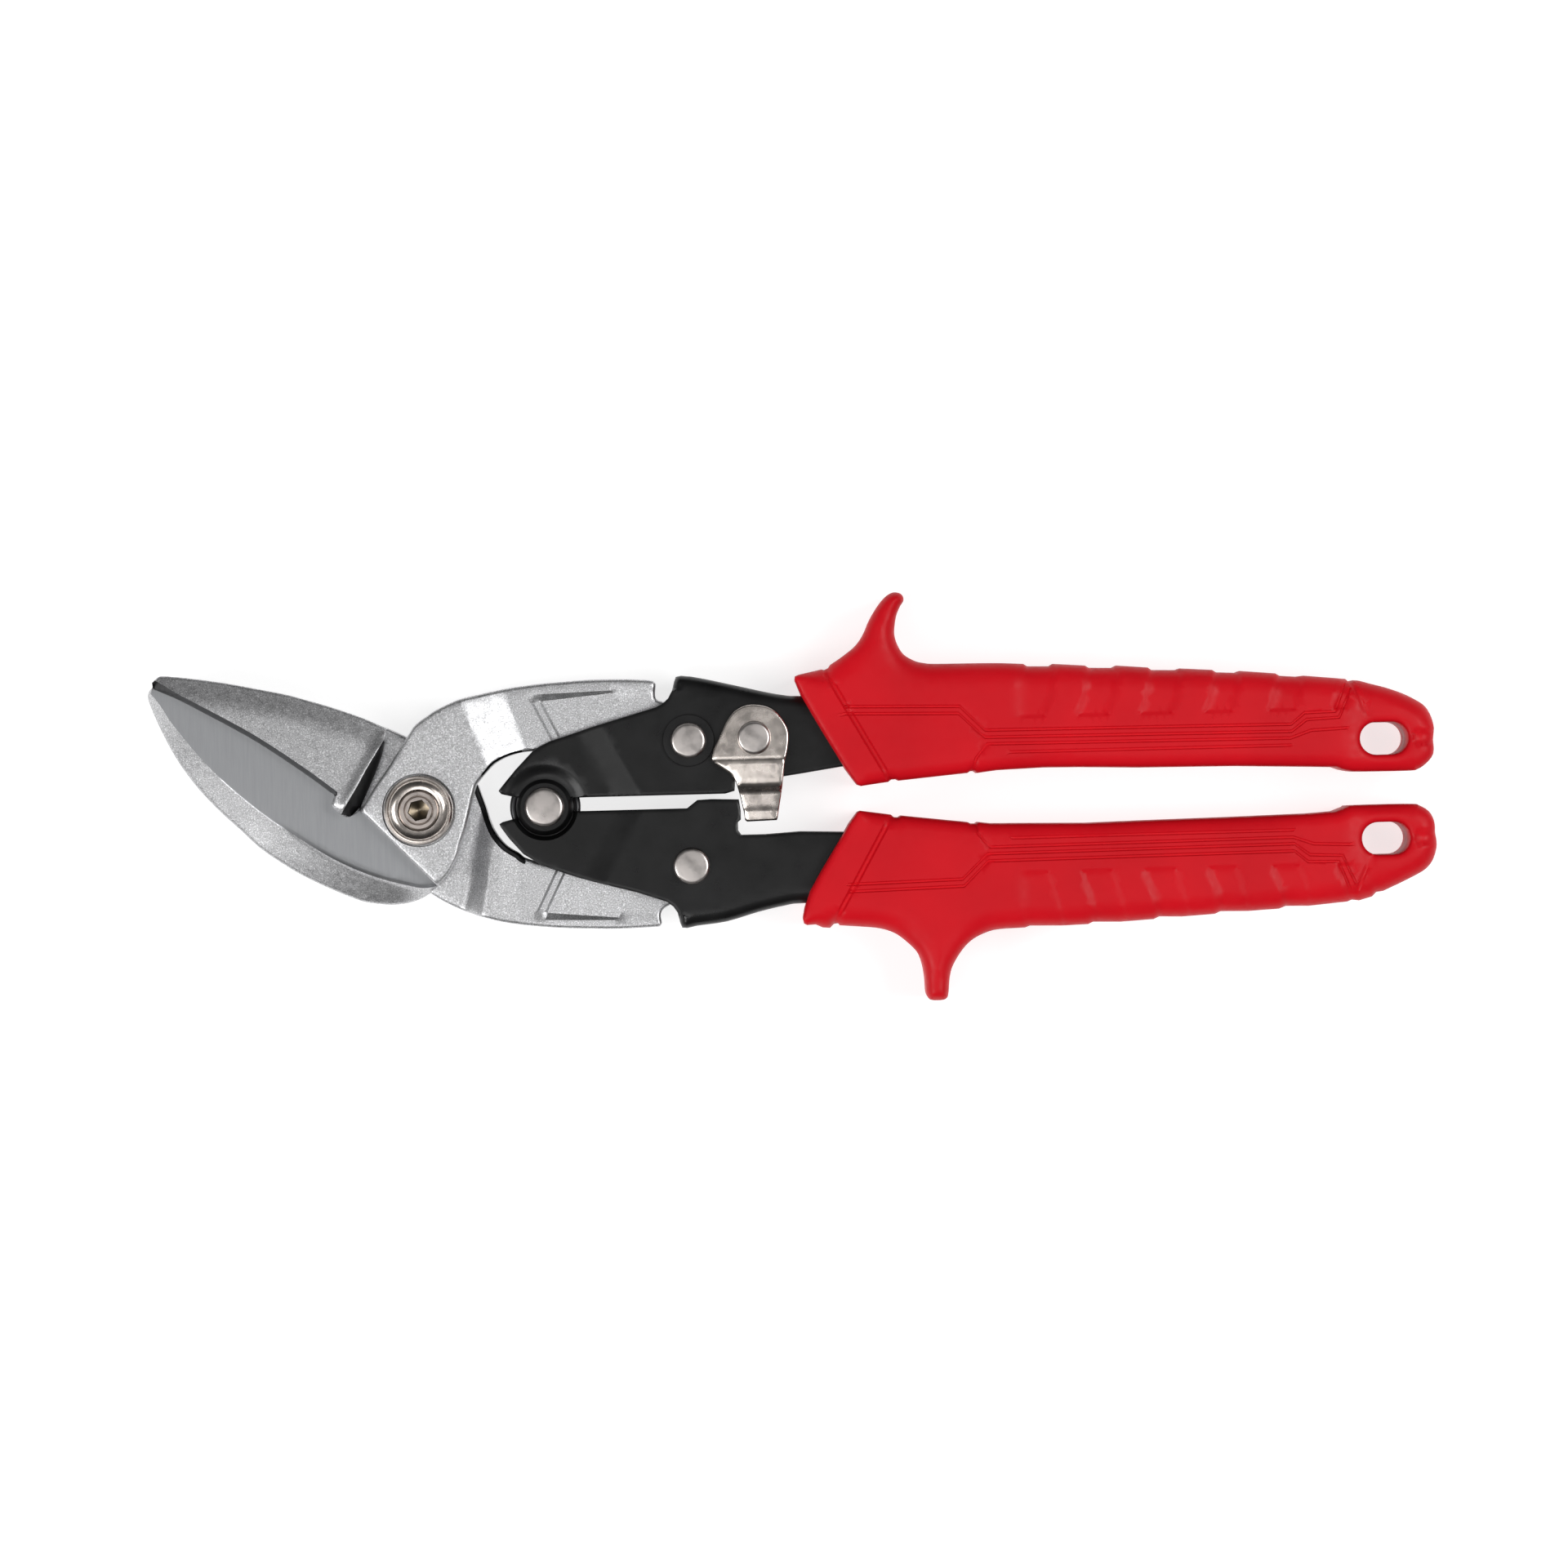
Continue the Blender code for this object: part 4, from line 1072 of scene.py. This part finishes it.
LATCH_PLAN = smooth([
    (62.4, 3.6), (61.6, 5.2), (60.5, 6.1), (58.3, 7.7), (57.65, 8.8), (58.4, 11.1),
    (59.6, 13.5), (60.6, 15.6), (62.2, 17.7), (64.3, 18.8), (66.3, 19), (68.8, 18.5),
    (70.8, 17.2), (72.4, 14.9), (72.9, 12.8), (72.6, 10.1), (72.1, 8), (71.7, 5.2),
    (71.2, 1.7), (70.7, -1), (70.3, -3.3)], 3) + [
    (70.1, -3.75), (64.3, -3.9), (63.9, -3.6), (63.7, -2.1), (63.2, 0.5)]
LATCH_FACE = ((-3.9, -1.75, -1.45, 1.8, 2.1, 3.1, 3.8, 7.7, 8.1, 8.4),
              (5.3, 5.45, 5.6, 6.15, 6.35, 7.25, 7.4, 7.7, 7.6, 7.75))
LATCH_BACK = ((-3.9, 1.3, 2.6), (4.3, 4.65, 6.3))
LATCH_BENDS = sorted(LATCH_FACE[0][1:] + LATCH_BACK[0][1:])
LATCH_BORE = 2.0


def latch():
    """Bent sheet catch: a flat face, a step down to its foot, and a hooked end."""
    def face(p):
        return np.interp(p[:, 1], *LATCH_FACE)

    def under(p):
        return np.interp(p[:, 1], *LATCH_BACK)

    creases = [[(50, y), (80, y)] for y in LATCH_BENDS]
    plate = relief("latch_plate", LATCH_PLAN, face, under, [ring(LATCH_PIVOT, LATCH_BORE, 32)],
                   creases, pitch=1.0, spacing=0.45, rim=0.4, under_rim=0.15)
    fit(plate, "latch", "latch", "plated_steel", NICKEL)
    profile = rivet_head(3.3, 7.86, 1.2) + [
        (1.8, 7.86), (1.8, 3.63), (3.0, 3.63), (2.9, 3.2), (2.4, 2.85), (0, 2.75)]
    pin = turned("latch_pin", LATCH_PIVOT, profile)
    fit(pin, "upper_handle", "latch_rivet", "rivet_steel", RIVET_STEEL)
    plain_ring("latch_disc", "upper_handle", "latch_washer", LATCH_PIVOT, LATCH_BORE, 3.4, 3.75,
               4.38, 0.08)


# Grips.

UPPER_GRIP_BOTTOM = [
    (85.1, 4), (86, 2.8), (86.8, 2.5), (92.1, 3.15), (92.7, 3.6), (93.7, 3.65), (94.2, 3.35),
    (107.7, 4.5), (108.2, 4.85), (109.1, 4.85), (109.6, 4.45), (113.5, 4.9), (122.9, 5.2),
    (130, 5.1), (141.9, 4.7), (160.5, 4.5), (174.7, 4), (179.9, 3.8)]
UPPER_GRIP_END = smooth([
    (181.2, 3.3), (183, 2.9), (185.6, 2.75), (194.2, 2.7), (195.9, 2.95), (197.6, 4),
    (199.1, 5.9), (199.2, 8.7), (199.4, 10.9), (199, 13.1), (197.9, 15.2), (196, 16.6),
    (193.3, 18), (190, 19.2), (187.3, 19.95), (185.1, 20.6), (183.8, 20.75)], 3)
UPPER_GRIP_PADS = [
    (182.9, 20.5), (182.3, 21.05), (174.1, 21.9), (172.5, 21.75), (169.4, 22), (168.6, 22.5),
    (161.6, 23.15), (160.9, 22.8), (157, 23), (156.2, 23.5), (149.8, 23.95), (149, 23.65),
    (144.3, 23.8), (143.6, 24.3), (137.4, 24.85), (136.6, 24.4), (132, 24.55), (131.3, 25),
    (125, 25.5), (124.2, 25.05), (120, 25.15), (119.2, 25.65)]
UPPER_GRIP_GUARD = smooth([
    (115, 25.9), (111, 26), (102, 26.1), (99.8, 26.3), (97.9, 26.8), (95.8, 28.1),
    (94.6, 30.1), (94.1, 32), (94.2, 33.8), (94.6, 35.8), (95.4, 37.6), (96.05, 38.6),
    (95.9, 39.6), (95.1, 40.2), (93.8, 40.25), (92.4, 39.4), (90.9, 37.7), (89.3, 35.2),
    (88, 32.4), (86.4, 30.1), (83.9, 28.1), (81.3, 26.4)], 4)
UPPER_GRIP_FRONT = [
    (80.9, 25.8), (80.1, 25.45), (79.6, 25.6), (75.2, 24.65), (74.35, 24.3), (74.25, 23.7),
    (75.5, 20.5), (77.6, 16.6), (79.8, 12.7), (82.3, 8.4), (83.5, 6.3)]
LOWER_GRIP_TOP = [
    (112.2, -5.5), (109.6, -5.15), (109.1, -5.45), (108.1, -5.45), (107.5, -5.1),
    (94.5, -3.5), (93.9, -3.85), (93.1, -3.8), (92.5, -3.25), (88.9, -2.7), (86.5, -2.35),
    (85.9, -2.6)]
LOWER_GRIP_FRONT = [
    (84.2, -4.8), (83.5, -6), (80.9, -10.1), (78.2, -14.4), (76.2, -17.9), (75.1, -21.2),
    (74.7, -23.2), (74.9, -24.1), (75.5, -24.45), (77.2, -24.4), (78.6, -25.05), (80, -25.15),
    (80.8, -24.4), (81.6, -24.3), (81.9, -24.7)]
LOWER_GRIP_GUARD = smooth([
    (84, -24.9), (86.4, -25.1), (89.7, -25.5), (92.6, -26.5), (95, -28.3), (97.1, -30.6),
    (98, -33.1), (98.4, -35.9), (98.5, -38.2), (98.9, -39.4), (99.8, -39.85), (101.7, -39.85),
    (102.6, -39.4), (102.9, -38.3), (103.2, -35.5), (103.9, -33.1), (105.9, -30),
    (108.1, -28), (111, -26.7), (113.5, -26.25), (118.2, -26.1)], 4)
LOWER_GRIP_PADS = [
    (119.2, -25.75), (125.5, -25.9), (130.6, -25.75), (131.6, -25.3), (137, -25.45),
    (143.5, -25.1), (144.6, -24.6), (149, -24.75), (155.5, -24.4), (156.6, -23.9), (162, -24),
    (168.1, -23.7), (169.5, -23.2), (173.9, -23.3), (181.6, -22.65), (182.5, -22.3),
    (183.9, -22.5), (186.5, -21.8), (187.3, -20.95), (188.7, -20.75)]
LOWER_GRIP_END = smooth([
    (191.6, -19.5), (194.9, -17.95), (197.1, -16.7), (198.5, -15.1), (199.2, -13.2),
    (199.4, -11.3), (199.1, -9.4), (198.9, -7.2), (197.9, -5.3), (196, -4.1), (194.2, -3.8),
    (183.2, -3.8), (181.8, -4.1), (179.6, -4.9)], 3)
LOWER_GRIP_INSIDE = [(174.7, -5.2), (158.3, -5.5), (141.9, -5.7), (130.9, -5.9), (120, -5.65)]
COLLAR = [(80.6, 24.6), (92.6, 3.4)]
PANEL = [
    (84.0, 17.4), (106.3, 16.9), (111.2, 12.1), (171.2, 11.7), (174, 13.9), (180.2, 14.1),
    (182.4, 19.4)]
PANEL_FOOT = [(108.6, 4.2), (109.4, 7.4), (111.6, 10.1), (171, 9.7), (175, 11.1), (182, 11.4)]
THIRD_LINE = [(116, 8.4), (171, 8.3)]
EAR_LINE = [(183.4, 20.2), (186.2, 14)]
GRIP_LINES = ((COLLAR, 1.3, 0.5), (offset(PANEL, 0.7), 0.7, 0.34), (offset(PANEL, -0.7), 0.7, 0.34),
              (PANEL_FOOT, 0.7, 0.3), (THIRD_LINE, 0.7, 0.25), (EAR_LINE, 1.0, 0.3))
PAD_RANGES = ((124.9, 131.5), (137.4, 143.8), (149.8, 156.4), (161.6, 168.9), (174.1, 181.4))
PAD_LINE = 15.2
PAD_STEP = 0.35
GRIP_MOUTH = [(74.3, 24.2), (86.2, 2.7)]
UPPER_EYE = (189.4, 9.2)
LOWER_EYE = (189.3, -10.4)


def pad_cover(p):
    """1 on the raised finger pads, which lean forwards from their lower edge."""
    x = p[:, 0] - 0.3 * (p[:, 1] - PAD_LINE)
    cover = np.zeros(len(p))
    for start, end in PAD_RANGES:
        cover += step(x, start - 2.2, start - 1.7) * (1 - step(x, end - 2.2, end - 1.7))
    return cover * step(p[:, 1], PAD_LINE - 0.25, PAD_LINE + 0.25)


def grip_height(p, hole):
    """The front face of a grip above its middle: grooves, pads and the lanyard eye."""
    x, y = p[:, 0], p[:, 1]
    height = np.full(len(p), HALF_GRIP)
    for line, width, depth in GRIP_LINES:
        height -= depth * dip(distance(p, line), width)
    zone = step(x, 117, 119) * (1 - step(x, 182, 183)) * step(y, PAD_LINE - 0.25, PAD_LINE + 0.25)
    height -= PAD_STEP * zone * (1 - pad_cover(p))
    height -= 0.55 * step(x, 181, 186)
    return height - 0.8 * dip(y - hole[1], 3.6) * step(x, hole[0] + 5.2, hole[0] + 6.2)


def grip_creases(hole):
    """Lines that carry the grip's grooves and steps."""
    lines = [offset(line, share * width) for line, width, _ in GRIP_LINES
             for share in (-0.5, -0.2, 0.2, 0.5)]
    for place in np.ravel(PAD_RANGES):
        for gap in (-2.2, -1.7):
            lines.append([(place + gap, PAD_LINE), (place + gap + 3.6, PAD_LINE + 12)])
    lines += [[(117, PAD_LINE + gap), (183, PAD_LINE + gap)] for gap in (-0.25, 0.25)]
    lines += [[(hole[0] + 5.4, hole[1] + gap), (200, hole[1] + gap)]
              for gap in (-1.8, -0.72, 0.72, 1.8)]
    clear = []
    for line in lines:
        dense = densify(line, 0.8, False)
        away = from_centre(dense, hole) > 6.3
        clear.extend(kept_runs(dense, away))
    return clear


def grip(name, node, body, outline, hole, side):
    """A moulded grip; the lower one is worked out on the upper one's side of the axis."""
    upright = [(x, y * side) for x, y in outline]
    centre = (hole[0], hole[1] * side)
    slot = (arc((centre[0] - 1.55, centre[1]), 3.2, 90, 270, 18)
            + arc((centre[0] + 1.55, centre[1]), 3.2, -90, 90, 18))

    def rim(p):
        outward = step(p[:, 1], 9, 15) * (1 - 0.45 * step(p[:, 1], 25, 29))
        wide = 2.6 + 1.5 * outward
        return np.minimum(wide, 0.8 + 0.8 * distance(p, GRIP_MOUTH))

    def top(p):
        return grip_height(p, centre)

    obj = relief(name, upright, top, lambda p: -top(p), [slot], grip_creases(centre), pitch=1.4,
                 spacing=0.8, rim=rim, under_rim=rim, hole_rim=1.0, widest=4.2, sharp=48)
    if side < 0:
        for vertex in obj.data.vertices:
            vertex.co.y = 2 * ORIGIN[1] - vertex.co.y
        obj.data.flip_normals()
    fit(obj, body, node, "red_plastic", RED)


def grips():
    upper = (UPPER_GRIP_BOTTOM + UPPER_GRIP_END + UPPER_GRIP_PADS + UPPER_GRIP_GUARD
             + UPPER_GRIP_FRONT)
    lower = (LOWER_GRIP_TOP + LOWER_GRIP_FRONT + LOWER_GRIP_GUARD + LOWER_GRIP_PADS + LOWER_GRIP_END
             + LOWER_GRIP_INSIDE)
    grip("upper_grip_sleeve", "upper_grip", "upper_handle", upper, UPPER_EYE, 1)
    grip("lower_grip_sleeve", "lower_grip", "lower_handle", lower, LOWER_EYE, -1)


# Studio.

VIEW_CENTRE = (71.7, 3.3)
VIEW_WIDTH = 308.9
VIEW_DISTANCE = 1.3
VIEW_ROLL = 1.5
SENSOR = 36
LAMPS = (("left_lamp", (-0.86, -0.34, 0.76), 0.5, 7.0),
         ("right_lamp", (0.62, 0.08, 0.85), 0.5, 6.0),
         ("top_lamp", (-0.24, -0.27, 1.12), 0.36, 1.5))
FLOOR_REACH = 3.0
FLOOR_GREY = 0.4
FLOOR_GLOW = 0.75


def sky():
    """A soft overhead glow that fades towards the horizon and to the front and back."""
    world = bpy.data.worlds.new("studio")
    world.use_nodes = True
    tree = world.node_tree
    place = add_node(tree, "TexCoord")
    parts = add_node(tree, "SeparateXYZ")
    tree.links.new(place.outputs["Generated"], parts.inputs["Vector"])

    def combine(kind, first, second=None):
        node = add_node(tree, "Math")
        node.operation = kind
        tree.links.new(first, node.inputs[0])
        if second is not None:
            tree.links.new(second, node.inputs[1])
        return node.outputs["Value"]

    height = map_range(tree, parts.outputs["Z"], 0, 1, 0.08, 0.35)
    sideways = map_range(tree, combine("ABSOLUTE", parts.outputs["Y"]), 0.1, 0.75, 1.0, 0.25)
    strength = combine("MULTIPLY", height, sideways)
    tree.links.new(strength, tree.nodes["Background"].inputs["Strength"])
    tree.nodes["Background"].inputs["Color"].default_value = (1, 1, 1, 1)
    bpy.context.scene.world = world


def studio():
    """Camera straight above the tool, with soft lamps round it."""
    camera = bpy.data.cameras.new("camera")
    camera.sensor_width = SENSOR
    camera.lens = SENSOR * (VIEW_DISTANCE - HALF_GRIP * MM) / (VIEW_WIDTH * MM)
    view = place_object("camera", camera)
    spot = to_world((*VIEW_CENTRE, 0))
    view.location = (spot[0], spot[1], VIEW_DISTANCE)
    view.rotation_euler = (0, 0, math.radians(-VIEW_ROLL))
    bpy.context.scene.camera = view
    sky()
    for name, place, size, power in LAMPS:
        lamp = bpy.data.lights.new(name, "AREA")
        lamp.shape = "SQUARE"
        lamp.size = size
        lamp.energy = power
        obj = place_object(name, lamp)
        obj.location = place
        obj.rotation_euler = (-Vector(place)).to_track_quat("-Z", "Y").to_euler()
    bpy.context.scene.view_settings.view_transform = "Standard"


def floor():
    """A plain pale sheet with a little light of its own."""
    mesh = bpy.data.meshes.new("floor")
    signs = ((-1, -1), (1, -1), (1, 1), (-1, 1))
    corners = [(x * FLOOR_REACH, y * FLOOR_REACH, 0) for x, y in signs]
    mesh.from_pydata(corners, [], [(0, 1, 2, 3)])
    paper = Finish("paper", 0.0, (FLOOR_GREY,) * 3, 0.8)
    paper.shader.inputs["Emission Color"].default_value = (1, 1, 1, 1)
    paper.shader.inputs["Emission Strength"].default_value = FLOOR_GLOW
    mesh.materials.append(paper.material)
    place_object("floor", mesh)


front_blade()
rear_blade()
pivot_bolt()
pivot_nut()
pivot_washer()
upper_handle()
lower_handle()
handle_spring()
pivots()
latch()
grips()
studio()
floor()

bpy.context.view_layer.update()
